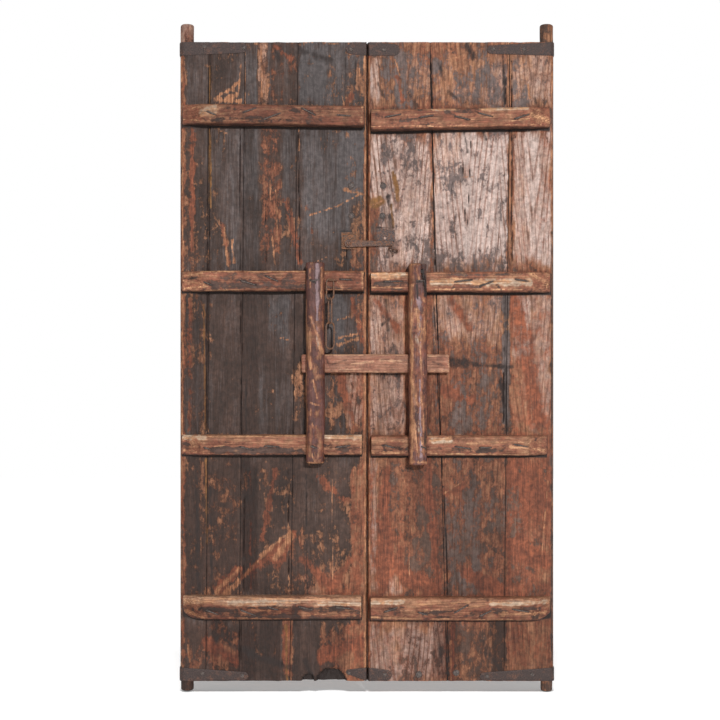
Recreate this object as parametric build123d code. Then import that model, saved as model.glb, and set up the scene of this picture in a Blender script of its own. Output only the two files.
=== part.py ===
from build123d import *
import math
import os

# Millimetres. X runs along the pair, Z is up, and the barred side faces -Y.

# Leaves
LEAF_TOP = 2042.0
LEAF_BOTTOM = 35.0
LEAF_THICKNESS = 42.0
OUTER_EDGE = 587.0
LEFT_MEETING_EDGE = -0.5
RIGHT_MEETING_EDGE = 5.0
MEETING_BEVEL = 6.5
EDGE_ROUND = 14.0

# Board joints, each as its X at the top and at the bottom of the leaf
LEFT_STILE_JOINT = (-490.0, -506.0)
LEFT_OUTER_JOINT = (-383.0, -402.0)
LEFT_INNER_JOINT = (-216.0, -242.0)
RIGHT_INNER_JOINT = (198.0, 252.0)
RIGHT_STILE_JOINT = (449.0, 430.0)

# Round pintles in line with the outer edge of each stile
PIVOT_X = 566.0
PINTLE_TOP = 2100.0
TOP_PINTLE_RADIUS = 21.0
TOP_PINTLE_EASE = 4.0
# Each lower pintle, as its radius, Z of its shoulder, Z of its worn tip and tip radius
LEFT_FOOT = (20.0, 12.0, 2.0, 14.0)
RIGHT_FOOT = (18.5, 9.0, 0.0, 13.0)

# Hollow rotted out of the left leaf's foot, as the X and Z of its arc, and the chip out
# of the right leaf's meeting edge, as its radius, depth and Z
ROT_ARC = ((-202.0, 34.0), (-122.0, 74.0), (-62.0, 34.0))
ROT_DEPTH = 25.0
CHIP_RADIUS = 22.0
CHIP_DEPTH = 18.0
CHIP_Z = 1545.0
MEETING_GNAW = 4.0

# Battens
BATTEN_DEPTH = 42.0
BATTEN_TIP_DEPTH = 12.0
BATTEN_TAPER = 66.0
BATTEN_ROUND = 9.0
BATTEN_HEIGHT = 63.0
BOTTOM_BATTEN_HEIGHT = 72.0
# Run and rise of the curve under the outer end of each bottom batten
BOTTOM_CURVE = (46.0, 22.0)
# Each batten's centre line, from its inner end to its outer end, as (X, Z)
LEFT_BATTEN_LINES = {
    "top": ((-9.0, 1804.0), (-578.0, 1812.0)),
    "upper": ((-9.0, 1290.0), (-580.0, 1290.0)),
    "lower": ((-15.0, 778.0), (-580.0, 778.0)),
    "bottom": ((-17.0, 270.0), (-576.0, 270.0)),
}
RIGHT_BATTEN_LINES = {
    "top": ((13.0, 1792.0), (573.0, 1802.0)),
    "upper": ((12.0, 1287.0), (575.0, 1286.0)),
    "lower": ((13.0, 776.0), (564.0, 776.0)),
    "bottom": ((11.0, 266.0), (575.0, 265.0)),
}

# Bar and the two keepers that it slides in
BAR_LEFT = -204.0
BAR_LENGTH = 461.0
BAR_HEIGHT = 59.0
BAR_THICKNESS = 30.0
BAR_BOTTOM = 1003.0
BAR_STANDOFF = 6.0
BAR_ROUND = 5.0
NOTCH_UNDER = 0.3
NOTCH_OVER = 3.7
KEEPER_DEPTH = 77.0
KEEPER_ROUND = 16.0
# Each keeper, as its X and Z reach
LEFT_KEEPER = (-190.0, -131.0, 723.0, 1347.0)
RIGHT_KEEPER = (129.0, 188.0, 718.0, 1343.0)
# The wood split away from the right keeper's upper corner: width, heights of its inner
# and outer side, and how far in front of the boards it starts
SPLIT_WIDTH = 20.0
SPLIT_INNER = 41.0
SPLIT_OUTER = 91.0
SPLIT_START = 51.0

# Clenched nails: forged square nails driven from the back and bent over in front
SHANK = 6.0
SHANK_EASE = 0.2
HEAD_WIDTH = 18.0
HEAD_HEIGHT = 4.5
HEAD_TAPER = 50.0
CLENCH_SINK = 2.0
CLENCH_PROUD = 2.0
CLENCH_TIP = 2.4

JOINT = "beside the outer joint"
JOINT_MARGIN = 8.0
# Each clenched nail of a batten, as its X, its height over the batten's centre line,
# and the run and rise of its bent point. JOINT for X means just beside a board joint.
LEFT_NAILS = {
    "top": [(-500, 0, 30, -12), (JOINT, -4, 40, 14), (-322, -26, 52, 20),
            (-204, 12, 42, -20), (-95, -10, 46, -4)],
    "upper": [(-508, -3, 26, -11), (JOINT, 1, 48, -14), (-316, 14, 38, -16),
              (-84, 5, 37, -2)],
    "lower": [(-509, -6, 22, -6), (JOINT, -4, 42, -10), (-320, -3, 44, -3),
              (-98, -6, 46, 6)],
    "bottom": [(-511, -4, 38, -14), (JOINT, -4, 48, -18), (-310, 6, 32, -10),
               (-214, 6, 44, -10), (-98, 3, 44, -4)],
}
RIGHT_NAILS = {
    "top": [(57, 5, 48, 9), (163, 1, 44, 7), (273, 3, 48, -12),
            (346, 12, 46, -12), (460, -9, 44, 14)],
    "upper": [(53, 0, 54, 1), (273, 0, 53, 6), (352, -13, 40, 15), (460, 9, 42, -7)],
    "lower": [(53, 3, 31, -9), (275, -2, 46, -7), (350, -6, 37, 0), (456, 5, 46, -9)],
    "bottom": [(53, -8, 42, 14), (159, -8, 31, -9), (270, -11, 44, 25),
               (350, -21, 38, 18), (454, 1, 50, -8)],
}
# Each keeper's nails, as the batten crossed, X, height, run and rise
LEFT_KEEPER_NAILS = [("upper", -174, -3, 26, 5), ("lower", -176, 0, 22, -9)]
RIGHT_KEEPER_NAILS = [("upper", 150, 2, 28, 0), ("lower", 166, 0, 17, -5)]

# Corner straps of thin iron, bent round the edge of the leaf
STRAP = 2.5
STRAP_HEIGHT = 43.0
# Each strap, as its reach along the leaf, the radius of its round tip, how far the
# tip's centre is from the end of the leaf, and its nails' distances from the edge
LEFT_STRAPS = {
    "top_outer": (211.0, 16.5, 18.0, (78.0, 197.0)),
    "top_inner": (66.0, 15.5, 22.0, (53.0,)),
    "bottom_outer": (215.0, 13.0, 16.0, (70.0, 196.0)),
    "bottom_inner": (66.0, 8.0, 29.0, (48.0,)),
}
RIGHT_STRAPS = {
    "top_outer": (210.0, 13.5, 24.0, (97.0, 197.0)),
    "top_inner": (99.0, 18.0, 25.0, (50.0,)),
    "bottom_outer": (233.0, 12.5, 15.0, (70.0, 214.0)),
    "bottom_inner": (74.0, 15.0, 21.0, (52.0,)),
}
STRAP_HEAD = (7.0, 3.0)

# The pair is centred front to back between the nail heads and the clenched points
FULL_DEPTH = CLENCH_PROUD + KEEPER_DEPTH + LEAF_THICKNESS + HEAD_HEIGHT
FACE_Y = FULL_DEPTH / 2 - HEAD_HEIGHT - LEAF_THICKNESS
BACK_Y = FACE_Y + LEAF_THICKNESS
PIVOT_Y = FACE_Y + LEAF_THICKNESS / 2

# Hook latch across the meeting edge
HOOK_PIVOT = (-57.0, 1408.5)
HOOK_STANDOFF = 6.0
HOOK_THICKNESS = 6.0
HOOK_END = 13.0
# Half heights of the hook's arm at its eye and at its bend
HOOK_ARM = (11.5, 7.0)
HOOK_PRONG_X = 81.0
# Widths of the prong at its root and at its tip
HOOK_PRONG = (7.0, 5.0)
HOOK_PRONG_BOTTOM = 1368.0
PIVOT_PIN_RADIUS = 4.0
PIN_CLEARANCE = 0.25
BURR_RADIUS = 8.0
BURR_HEIGHT = 3.0
BURR_TAPER = 30.0
HOOK_PLATE = (-80.0, -34.0, 1391.0, 1444.0)
PLATE_THICKNESS = 2.5
PLATE_RIM = (5.0, 2.0)
EYE_PLATE = (30.0, 87.5, 1415.0, 1457.0)
# Fall of the eye plate's broken upper edge, and its hole's X, Z and radius
BROKEN_FALL = 8.0
PLATE_HOLE = (57.0, 1426.5, 4.5)
EYE_CENTRE = (83.0, 1390.0)
EYE_RADIUS = 13.0
EYE_WIRE = 3.5
EYE_REACH = 12.0
EYE_SLANT = 20.0
EYE_DEPTH = 32.0

# Chain on its staple beside the left keeper; all wire here is forged with eight flats
WIRE_FLATS = 8
CHAIN_X = -114.7
STAPLE_X = (-124.5, -94.5)
STAPLE_Z = 1291.5
STAPLE_WIRE = 2.25
STAPLE_PROUD = 12.0
STAPLE_SINK = 30.0
LINK_WIRE = 2.5
LINK_GAP = 0.3
LINK_TURN = 35.0
LINK_WIDTHS = (27.0, 17.0, 30.0)
LINK_BOTTOMS = (1231.3, 1155.9, 1077.3)

# Studs that no strap carries, as (X, Z)
STUD_RADIUS = 11.0
STUD_HEIGHT = 4.5
STUD_LENGTH = 36.0
STUD_TAPER = 40.0
LEFT_STUDS = ((-49.0, 1590.5), (-49.0, 1496.0))
RIGHT_STUDS = ((51.5, 1590.0), (49.0, 1496.0), (163.0, 56.0), (280.5, 61.0))


def block(x_low, x_high, near, far, z_low, z_high):
    """A box; near and far count forward from the boards' front face."""
    size = (x_high - x_low, far - near, z_high - z_low)
    middle = ((x_low + x_high) / 2, FACE_Y - (near + far) / 2, (z_low + z_high) / 2)
    return Pos(*middle) * Box(*size)


def sheet(points, near, far):
    """A prism: an outline of (X, Z) points, from near to far in front of the boards."""
    outline = make_face(Polyline([Vector(x, 0, z) for x, z in points], close=True))
    prism = extrude(outline, amount=far - near, dir=(0, -1, 0))
    return Pos(0, FACE_Y - near, 0) * prism


def rod(radius, near, far, x, z):
    """A round rod along Y, from near to far in front of the boards."""
    middle = Pos(x, FACE_Y - (near + far) / 2, z)
    return middle * Rot(90, 0, 0) * Cylinder(radius, far - near)


def board(left_joint, right_joint):
    """One board; each side is its X at the top and at the bottom."""
    corners = [
        (left_joint[1], LEAF_BOTTOM),
        (right_joint[1], LEAF_BOTTOM),
        (right_joint[0], LEAF_TOP),
        (left_joint[0], LEAF_TOP),
    ]
    return sheet(corners, -LEAF_THICKNESS, 0)


def foot_pintle(x, radius, shoulder, tip, tip_radius):
    """The lower pintle: a round with a worn, tapered tip."""
    outline = [
        (0, tip),
        (tip_radius, tip),
        (radius, shoulder),
        (radius, LEAF_BOTTOM),
        (0, LEAF_BOTTOM),
    ]
    half = make_face(Polyline([Vector(r, 0, z) for r, z in outline], close=True))
    return Pos(x, PIVOT_Y, 0) * revolve(half, Axis.Z)


def pivot_stile(x_edge, joint, foot):
    """The outer board of a leaf, with its two pintles worked on it."""
    left, right = sorted(((x_edge, x_edge), joint))
    stile = board(left, right)
    outer = [e for e in stile.edges().filter_by(Axis.Z) if abs(e.center().X - x_edge) < 1]
    stile = fillet(outer, EDGE_ROUND)
    x = math.copysign(PIVOT_X, x_edge)
    height = PINTLE_TOP - LEAF_TOP
    head = Pos(x, PIVOT_Y, LEAF_TOP + height / 2) * Cylinder(TOP_PINTLE_RADIUS, height)
    head = chamfer(head.edges().sort_by(Axis.Z)[-1], TOP_PINTLE_EASE)
    return stile + head + foot_pintle(x, *foot)


def batten(line, height, low_curve=None):
    """A batten with rounded front edges, tapered at its outer end."""
    (x_inner, z_inner), (x_outer, z_outer) = line
    length = math.dist(*line)
    way = math.copysign(1, x_outer - x_inner)
    plan = [
        (0, 0),
        (0, -BATTEN_DEPTH),
        (way * (length - BATTEN_TAPER), -BATTEN_DEPTH),
        (way * length, -BATTEN_TIP_DEPTH),
        (way * length, 0),
    ]
    outline = make_face(Polyline([Vector(x, y, 0) for x, y in plan], close=True))
    piece = extrude(outline, amount=height / 2, both=True)
    long_edges = [
        e for e in piece.edges()
        if e.length > BATTEN_TAPER and e.center().Y < -BATTEN_TIP_DEPTH
    ]
    piece = fillet(long_edges, BATTEN_ROUND)
    if low_curve:
        run, rise = low_curve
        radius = (run ** 2 + rise ** 2) / (2 * rise)
        start = way * (length - run)
        corner = Pos(start + way * run, -BATTEN_DEPTH / 2, (rise - height) / 2)
        waste = corner * Box(2 * run, 2 * BATTEN_DEPTH, rise)
        turn = Pos(start, -BATTEN_DEPTH / 2, radius - height / 2) * Rot(90, 0, 0)
        piece -= waste - turn * Cylinder(radius, 3 * BATTEN_DEPTH)
    tilt = math.degrees(math.atan2(z_outer - z_inner, abs(x_outer - x_inner)))
    return Pos(x_inner, FACE_Y, z_inner) * Rot(0, -way * tilt, 0) * piece


def battens(lines):
    """The four battens of a leaf, by name."""
    made = {}
    for name, line in lines.items():
        low = name == "bottom"
        height = BOTTOM_BATTEN_HEIGHT if low else BATTEN_HEIGHT
        made[name] = batten(line, height, BOTTOM_CURVE if low else None)
    return made


def keeper(place, crossed):
    """A keeper, housed over the battens it crosses and notched for the bar."""
    x_low, x_high, z_low, z_high = place
    piece = block(x_low, x_high, 0, KEEPER_DEPTH, z_low, z_high)
    front = [e for e in piece.edges().filter_by(Axis.Z) if e.center().Y < FACE_Y - 1]
    piece = fillet(front, KEEPER_ROUND)
    notch_low = BAR_BOTTOM - NOTCH_UNDER
    notch_high = BAR_BOTTOM + BAR_HEIGHT + NOTCH_OVER
    notch = 2 * BAR_STANDOFF + BAR_THICKNESS
    piece -= block(x_low - 1, x_high + 1, -1, notch, notch_low, notch_high)
    for one in crossed:
        piece -= one
    return piece


def keeper_split():
    """The wood split away from the right keeper's upper corner."""
    _, x_high, _, z_high = RIGHT_KEEPER
    x_inner, x_beyond = x_high - SPLIT_WIDTH, x_high + 1
    outline = [
        (x_inner, z_high - SPLIT_INNER),
        (x_beyond, z_high - SPLIT_OUTER),
        (x_beyond, z_high + 1),
        (x_inner, z_high + 1),
    ]
    return sheet(outline, SPLIT_START, KEEPER_DEPTH + 1)


def lock_bar():
    """The sliding bar, its front edges rubbed round."""
    high = BAR_BOTTOM + BAR_HEIGHT
    far = BAR_STANDOFF + BAR_THICKNESS
    bar = block(BAR_LEFT, BAR_LEFT + BAR_LENGTH, BAR_STANDOFF, far, BAR_BOTTOM, high)
    front = [e for e in bar.edges().filter_by(Axis.X) if e.center().Y < FACE_Y - far + 1]
    return fillet(front, BAR_ROUND)


def clenched_nail(start, end, depth):
    """A nail with its rose head on the back and its point bent over in front."""
    (x, z), (x_tip, z_tip) = start, end
    reach = math.dist(start, end)
    across = ((z_tip - z) / reach, -(x_tip - x) / reach)
    wide, fine = SHANK / 2, CLENCH_TIP / 2
    back = ((x_tip - x) / reach * wide, (z_tip - z) / reach * wide)
    bent = [
        (x - back[0] + across[0] * wide, z - back[1] + across[1] * wide),
        (x_tip + across[0] * fine, z_tip + across[1] * fine),
        (x_tip - across[0] * fine, z_tip - across[1] * fine),
        (x - back[0] - across[0] * wide, z - back[1] - across[1] * wide),
    ]
    half = SHANK / 2 - SHANK_EASE
    point = sheet(bent, depth - CLENCH_SINK, depth + CLENCH_PROUD)
    shank = block(x - half, x + half, -LEAF_THICKNESS - 1, depth, z - half, z + half)
    base = Plane(origin=(x, BACK_Y, z), x_dir=(1, 0, 0), z_dir=(0, 1, 0))
    head = extrude(base * Rectangle(HEAD_WIDTH, HEAD_WIDTH), amount=HEAD_HEIGHT, taper=HEAD_TAPER)
    return point + shank + head


def headed_nail(x, z, base, radius, height, length):
    """A nail with a faceted round head in front, standing on a surface at base."""
    top = Plane(origin=(x, FACE_Y - base, z), x_dir=(1, 0, 0), z_dir=(0, -1, 0))
    head = extrude(top * RegularPolygon(radius, 8), amount=height, taper=STUD_TAPER)
    half = SHANK / 2
    return head + block(x - half, x + half, base - length, base + 1, z - half, z + half)


def corner_strap(x_edge, size, z_edge, outer):
    """A U of thin iron round one corner; the wood is rebated for it where leaves meet."""
    reach, radius, drop, _ = size
    way = math.copysign(1, -x_edge) if outer else z_dir_of(x_edge)
    up = 1 if z_edge == LEAF_BOTTOM else -1
    x_tip, x_neck = x_edge + way * reach, x_edge + way * (reach - radius)
    x_out = x_edge - way * STRAP if outer else x_edge
    x_in = x_edge if outer else x_edge + way * STRAP
    z_far = z_edge + up * STRAP_HEIGHT
    z_neck = z_edge + up * drop
    low, high = min(z_edge, z_far), max(z_edge, z_far)
    near, far = -LEAF_THICKNESS - STRAP, STRAP
    shell = block(min(x_out, x_tip), max(x_out, x_tip), near, far, low, high)
    beyond = x_tip + way
    core = block(min(x_in, beyond), max(x_in, beyond), -LEAF_THICKNESS, 0, low - 1, high + 1)
    if outer:
        shell = round_edge(shell, x_out, EDGE_ROUND + STRAP)
        core = round_edge(core, x_in, EDGE_ROUND)
    taper = [
        (x_out, z_edge),
        (x_neck, z_neck - up * radius),
        (x_neck, z_neck + up * radius),
        (x_out, z_far),
    ]
    outline = sheet(taper, near - 1, far + 1) + rod(radius, near - 1, far + 1, x_neck, z_neck)
    return (shell - core) & outline


def z_dir_of(x_edge):
    """The way into the leaf from a meeting edge."""
    return -1 if x_edge == LEFT_MEETING_EDGE else 1


def round_edge(piece, x_edge, radius):
    """Round the two upright edges of a block at x_edge."""
    found = [e for e in piece.edges().filter_by(Axis.Z) if abs(e.center().X - x_edge) < 0.5]
    return fillet(found, radius)


def stadium_link(width, top, bottom, turn, wire, x, y):
    """A link of round wire: two straight sides and two half-round ends."""
    along = (math.cos(math.radians(turn)), math.sin(math.radians(turn)), 0)
    flat = Plane(origin=(x, y, 0), x_dir=along, z_dir=(along[1], -along[0], 0))
    half = width / 2
    low, high = bottom + half, top - half
    route = (
        Line((half, low), (half, high))
        + ThreePointArc((half, high), (0, top), (-half, high))
        + Line((-half, high), (-half, low))
        + ThreePointArc((-half, low), (0, bottom), (half, low))
    )
    start = Plane(origin=(half, low, 0), x_dir=(1, 0, 0), z_dir=(0, 1, 0))
    ring = sweep(start * RegularPolygon(wire, WIRE_FLATS), path=route, transition=Transition.RIGHT)
    return flat * ring


def chain_links():
    """The three links, each hung in the one above, turned a quarter from it."""
    y = FACE_Y - BATTEN_DEPTH - STAPLE_PROUD
    tops = [STAPLE_Z + STAPLE_WIRE + LINK_GAP + LINK_WIRE]
    tops += [z + 2 * LINK_WIRE + LINK_GAP for z in LINK_BOTTOMS[:2]]
    turns = (LINK_TURN, LINK_TURN + 90, LINK_TURN)
    links = []
    for width, top, bottom, turn in zip(LINK_WIDTHS, tops, LINK_BOTTOMS, turns):
        links.append(stadium_link(width, top, bottom, turn, LINK_WIRE, CHAIN_X, y))
    return links


def chain_staple():
    """A staple driven into the upper batten, its bar level."""
    base = FACE_Y - BATTEN_DEPTH
    front = base - STAPLE_PROUD
    inside = base + STAPLE_SINK
    left, right = STAPLE_X
    points = [
        (left, inside, STAPLE_Z),
        (left, front, STAPLE_Z),
        (right, front, STAPLE_Z),
        (right, inside, STAPLE_Z),
    ]
    route = FilletPolyline(*points, radius=2 * STAPLE_WIRE)
    start = Plane(origin=points[0], x_dir=(1, 0, 0), z_dir=(0, -1, 0))
    return sweep(start * RegularPolygon(STAPLE_WIRE, WIRE_FLATS), path=route)


def eye_staple():
    """The round-nosed staple that the hook drops into, driven slightly askew."""
    tilt = math.radians(EYE_SLANT)
    side = (EYE_RADIUS * math.cos(tilt), -EYE_RADIUS * math.sin(tilt))
    x, z = EYE_CENTRE
    turn_y = FACE_Y - EYE_REACH
    ends = [(x - side[0], z - side[1]), (x + side[0], z + side[1])]
    left_end, right_end = ends
    nose = (x, turn_y - EYE_RADIUS, z)
    route = (
        Line((left_end[0], FACE_Y + EYE_DEPTH, left_end[1]), (left_end[0], turn_y, left_end[1]))
        + ThreePointArc((left_end[0], turn_y, left_end[1]), nose, (right_end[0], turn_y, right_end[1]))
        + Line((right_end[0], turn_y, right_end[1]), (right_end[0], FACE_Y + EYE_DEPTH, right_end[1]))
    )
    at = (left_end[0], FACE_Y + EYE_DEPTH, left_end[1])
    start = Plane(origin=at, x_dir=(1, 0, 0), z_dir=(0, -1, 0))
    return sweep(start * RegularPolygon(EYE_WIRE, WIRE_FLATS), path=route)


def latch_hook():
    """The forged hook: a round eye, a flat arm and a prong that drops into the staple."""
    x, z = HOOK_PIVOT
    near, far = HOOK_STANDOFF, HOOK_STANDOFF + HOOK_THICKNESS
    at_eye, at_bend = HOOK_ARM
    root, tip = HOOK_PRONG
    x_bend = HOOK_PRONG_X + root / 2 - at_bend
    arm = [
        (x, z - at_eye),
        (x_bend, z - at_bend),
        (x_bend, z + at_bend),
        (x, z + at_eye),
    ]
    prong = [
        (HOOK_PRONG_X - root / 2, z),
        (HOOK_PRONG_X - tip / 2, HOOK_PRONG_BOTTOM),
        (HOOK_PRONG_X + tip / 2, HOOK_PRONG_BOTTOM),
        (HOOK_PRONG_X + root / 2, z),
    ]
    hook = sheet(arm, near, far) + sheet(prong, near, far)
    hook += rod(at_bend, near, far, x_bend, z) + rod(HOOK_END, near, far, x, z)
    return hook - rod(PIVOT_PIN_RADIUS + PIN_CLEARANCE, near - 1, far + 1, x, z)


def hook_pivot():
    """The round pin that the hook turns on, with a burred head."""
    x, z = HOOK_PIVOT
    front = HOOK_STANDOFF + HOOK_THICKNESS + PIN_CLEARANCE
    shank = rod(PIVOT_PIN_RADIUS, -EYE_DEPTH, front + 1, x, z)
    top = Plane(origin=(x, FACE_Y - front, z), x_dir=(1, 0, 0), z_dir=(0, -1, 0))
    burr = extrude(top * RegularPolygon(BURR_RADIUS, 8), amount=BURR_HEIGHT, taper=BURR_TAPER)
    return shank + burr


def hook_plate():
    """The square plate under the hook, its edges turned up on three sides."""
    x_low, x_high, z_low, z_high = HOOK_PLATE
    width, rise = PLATE_RIM
    full = PLATE_THICKNESS + rise
    plate = block(x_low, x_high, 0, full, z_low, z_high)
    inner = (x_low + width, x_high + 1, PLATE_THICKNESS, full + 1)
    return plate - block(*inner, z_low + width, z_high - width)


def eye_plate():
    """The thin plate beside the eye staple, broken along its upper edge."""
    x_low, x_high, z_low, z_high = EYE_PLATE
    x_break = (x_low + x_high) / 2
    outline = [
        (x_low, z_low),
        (x_high, z_low),
        (x_high, z_high - BROKEN_FALL / 2),
        ((x_break + x_high) / 2, z_high - BROKEN_FALL),
        (x_break, z_high - BROKEN_FALL / 4),
        (x_low, z_high),
    ]
    x_hole, z_hole, radius = PLATE_HOLE
    plate = sheet(outline, 0, PLATE_THICKNESS)
    return plate - rod(radius, -1, PLATE_THICKNESS + 1, x_hole, z_hole)


def joint_x(joint, z):
    """X of a board joint at height z."""
    share = (z - LEAF_BOTTOM) / (LEAF_TOP - LEAF_BOTTOM)
    return joint[1] + (joint[0] - joint[1]) * share


def line_z(line, x):
    """Z of a batten's centre line at x."""
    (x_inner, z_inner), (x_outer, z_outer) = line
    return z_inner + (z_outer - z_inner) * (x - x_inner) / (x_outer - x_inner)


def batten_nails(lines, rows, joint):
    """All the clenched nails that hold a leaf's battens."""
    nails = []
    for name, row in rows.items():
        for x, over, run, rise in row:
            if x == JOINT:
                x = joint_x(joint, lines[name][0][1]) - JOINT_MARGIN
            z = line_z(lines[name], x) + over
            nails.append(clenched_nail((x, z), (x + run, z + rise), BATTEN_DEPTH))
    return nails


def keeper_nails(lines, rows):
    """The long nails through boards, batten and keeper."""
    nails = []
    for name, x, over, run, rise in rows:
        z = line_z(lines[name], x) + over
        nails.append(clenched_nail((x, z), (x + run, z + rise), KEEPER_DEPTH))
    return nails


def straps(sizes, outer_edge, meeting_edge):
    """The four corner straps of a leaf, by name, with their nails."""
    made, nails = {}, []
    length = LEAF_THICKNESS + 2 * STRAP
    for name, size in sizes.items():
        reach, _, drop, distances = size
        outer = name.endswith("outer")
        x_edge = outer_edge if outer else meeting_edge
        z_edge = LEAF_TOP if name.startswith("top") else LEAF_BOTTOM
        up = -1 if name.startswith("top") else 1
        made[name] = corner_strap(x_edge, size, z_edge, outer)
        way = math.copysign(1, -x_edge) if outer else z_dir_of(x_edge)
        for distance in distances:
            middle = STRAP_HEIGHT / 2 + (drop - STRAP_HEIGHT / 2) * distance / reach
            x, z = x_edge + way * distance, z_edge + up * middle
            nails.append(headed_nail(x, z, STRAP, *STRAP_HEAD, length))
    return made, nails


def meeting_rebate(x_edge):
    """The wood cut from a meeting edge so that its straps lie flush."""
    x_far = x_edge + z_dir_of(x_edge) * STRAP
    low, high = min(x_edge, x_far), max(x_edge, x_far)
    near = -LEAF_THICKNESS
    top = block(low, high, near, 0, LEAF_TOP - STRAP_HEIGHT, LEAF_TOP)
    return top + block(low, high, near, 0, LEAF_BOTTOM, LEAF_BOTTOM + STRAP_HEIGHT)


def meeting_bevel(x_edge):
    """The wedge by which a meeting edge is planed over between its straps, so that the
    right leaf laps behind the left one."""
    plan = [(x_edge, FACE_Y), (x_edge, BACK_Y), (x_edge - MEETING_BEVEL, BACK_Y)]
    outline = make_face(Polyline([Vector(x, y, 0) for x, y in plan], close=True))
    low, high = LEAF_BOTTOM + STRAP_HEIGHT, LEAF_TOP - STRAP_HEIGHT
    return Pos(0, 0, low) * extrude(outline, amount=high - low, dir=(0, 0, 1))


def rotted_pocket():
    """The hollow rotted out of the left leaf's inner board at its foot."""
    left, peak, right = [Vector(x, 0, z) for x, z in ROT_ARC]
    outline = make_face(ThreePointArc(left, peak, right) + Line(right, left))
    hollow = extrude(outline, amount=ROT_DEPTH + 1, dir=(0, 1, 0))
    return Pos(0, FACE_Y - 1, 0) * hollow


def edge_chip():
    """The chip out of the right leaf's meeting edge above the latch."""
    x = RIGHT_MEETING_EDGE + MEETING_GNAW - CHIP_RADIUS
    return rod(CHIP_RADIUS, -CHIP_DEPTH, 1, x, CHIP_Z)


def cut(pieces, tools):
    """Cut the tools' own shapes out of every piece that they pass through."""
    for name in pieces:
        box = pieces[name].bounding_box()
        for tool in tools:
            other = tool.bounding_box()
            apart = (
                other.min.X > box.max.X or other.max.X < box.min.X
                or other.min.Z > box.max.Z or other.max.Z < box.min.Z
                or other.min.Y > box.max.Y or other.max.Y < box.min.Y
            )
            if not apart:
                pieces[name] = pieces[name] - tool


def left_leaf():
    """Every piece of the left leaf, by node name."""
    wood = {
        "left_pivot_stile": pivot_stile(-OUTER_EDGE, LEFT_STILE_JOINT, LEFT_FOOT),
        "left_outer_board": board(LEFT_STILE_JOINT, LEFT_OUTER_JOINT),
        "left_middle_board": board(LEFT_OUTER_JOINT, LEFT_INNER_JOINT),
        "left_inner_board": board(LEFT_INNER_JOINT, (LEFT_MEETING_EDGE, LEFT_MEETING_EDGE)),
    }
    wood["left_inner_board"] -= meeting_bevel(LEFT_MEETING_EDGE)
    wood["left_inner_board"] -= meeting_rebate(LEFT_MEETING_EDGE)
    wood["left_inner_board"] -= rotted_pocket()
    rails = battens(LEFT_BATTEN_LINES)
    wood["left_keeper"] = keeper(LEFT_KEEPER, [rails["upper"], rails["lower"]])
    for name, piece in rails.items():
        wood[f"left_{name}_batten"] = piece
    nails = batten_nails(LEFT_BATTEN_LINES, LEFT_NAILS, LEFT_OUTER_JOINT)
    long_nails = keeper_nails(LEFT_BATTEN_LINES, LEFT_KEEPER_NAILS)
    irons, strap_nails = straps(LEFT_STRAPS, -OUTER_EDGE, LEFT_MEETING_EDGE)
    studs = [headed_nail(x, z, 0, STUD_RADIUS, STUD_HEIGHT, STUD_LENGTH) for x, z in LEFT_STUDS]
    pieces = dict(wood)
    for name, strap in irons.items():
        pieces[f"left_{name}_strap"] = strap
    pieces["hook_plate"] = hook_plate()
    pin, staple = hook_pivot(), chain_staple()
    cut(pieces, nails + long_nails + strap_nails + studs + [pin, staple])
    pieces["left_batten_nails"] = nails
    pieces["left_keeper_nails"] = long_nails
    pieces["left_strap_nails"] = strap_nails
    pieces["left_studs"] = studs
    pieces["hook_pivot"] = pin
    pieces["chain_staple"] = staple
    return pieces


def right_leaf():
    """Every piece of the right leaf, by node name."""
    wood = {
        "right_inner_board": board((RIGHT_MEETING_EDGE, RIGHT_MEETING_EDGE), RIGHT_INNER_JOINT),
        "right_outer_board": board(RIGHT_INNER_JOINT, RIGHT_STILE_JOINT),
        "right_pivot_stile": pivot_stile(OUTER_EDGE, RIGHT_STILE_JOINT, RIGHT_FOOT),
    }
    wood["right_inner_board"] += meeting_bevel(RIGHT_MEETING_EDGE)
    wood["right_inner_board"] -= meeting_rebate(RIGHT_MEETING_EDGE)
    wood["right_inner_board"] -= edge_chip()
    rails = battens(RIGHT_BATTEN_LINES)
    post = keeper(RIGHT_KEEPER, [rails["upper"], rails["lower"]])
    wood["right_keeper"] = post - keeper_split()
    for name, piece in rails.items():
        wood[f"right_{name}_batten"] = piece
    nails = batten_nails(RIGHT_BATTEN_LINES, RIGHT_NAILS, RIGHT_INNER_JOINT)
    long_nails = keeper_nails(RIGHT_BATTEN_LINES, RIGHT_KEEPER_NAILS)
    irons, strap_nails = straps(RIGHT_STRAPS, OUTER_EDGE, RIGHT_MEETING_EDGE)
    studs = [headed_nail(x, z, 0, STUD_RADIUS, STUD_HEIGHT, STUD_LENGTH) for x, z in RIGHT_STUDS]
    pieces = dict(wood)
    for name, strap in irons.items():
        pieces[f"right_{name}_strap"] = strap
    pieces["eye_plate"] = eye_plate()
    eye = eye_staple()
    cut(pieces, nails + long_nails + strap_nails + studs + [eye])
    pieces["right_batten_nails"] = nails
    pieces["right_keeper_nails"] = long_nails
    pieces["right_strap_nails"] = strap_nails
    pieces["right_studs"] = studs
    pieces["eye_staple"] = eye
    return pieces


def write_parts():
    """Write one STEP file for each piece or group of like nails."""
    os.makedirs("parts", exist_ok=True)
    pieces = left_leaf() | right_leaf()
    pieces["lock_bar"] = lock_bar()
    pieces["latch_hook"] = latch_hook()
    for number, link in enumerate(chain_links(), start=1):
        pieces[f"chain_link_{number}"] = link
    for name, piece in pieces.items():
        if isinstance(piece, list):
            piece = Compound(children=piece)
        export_step(piece, f"parts/{name}.step")


write_parts()
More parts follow.
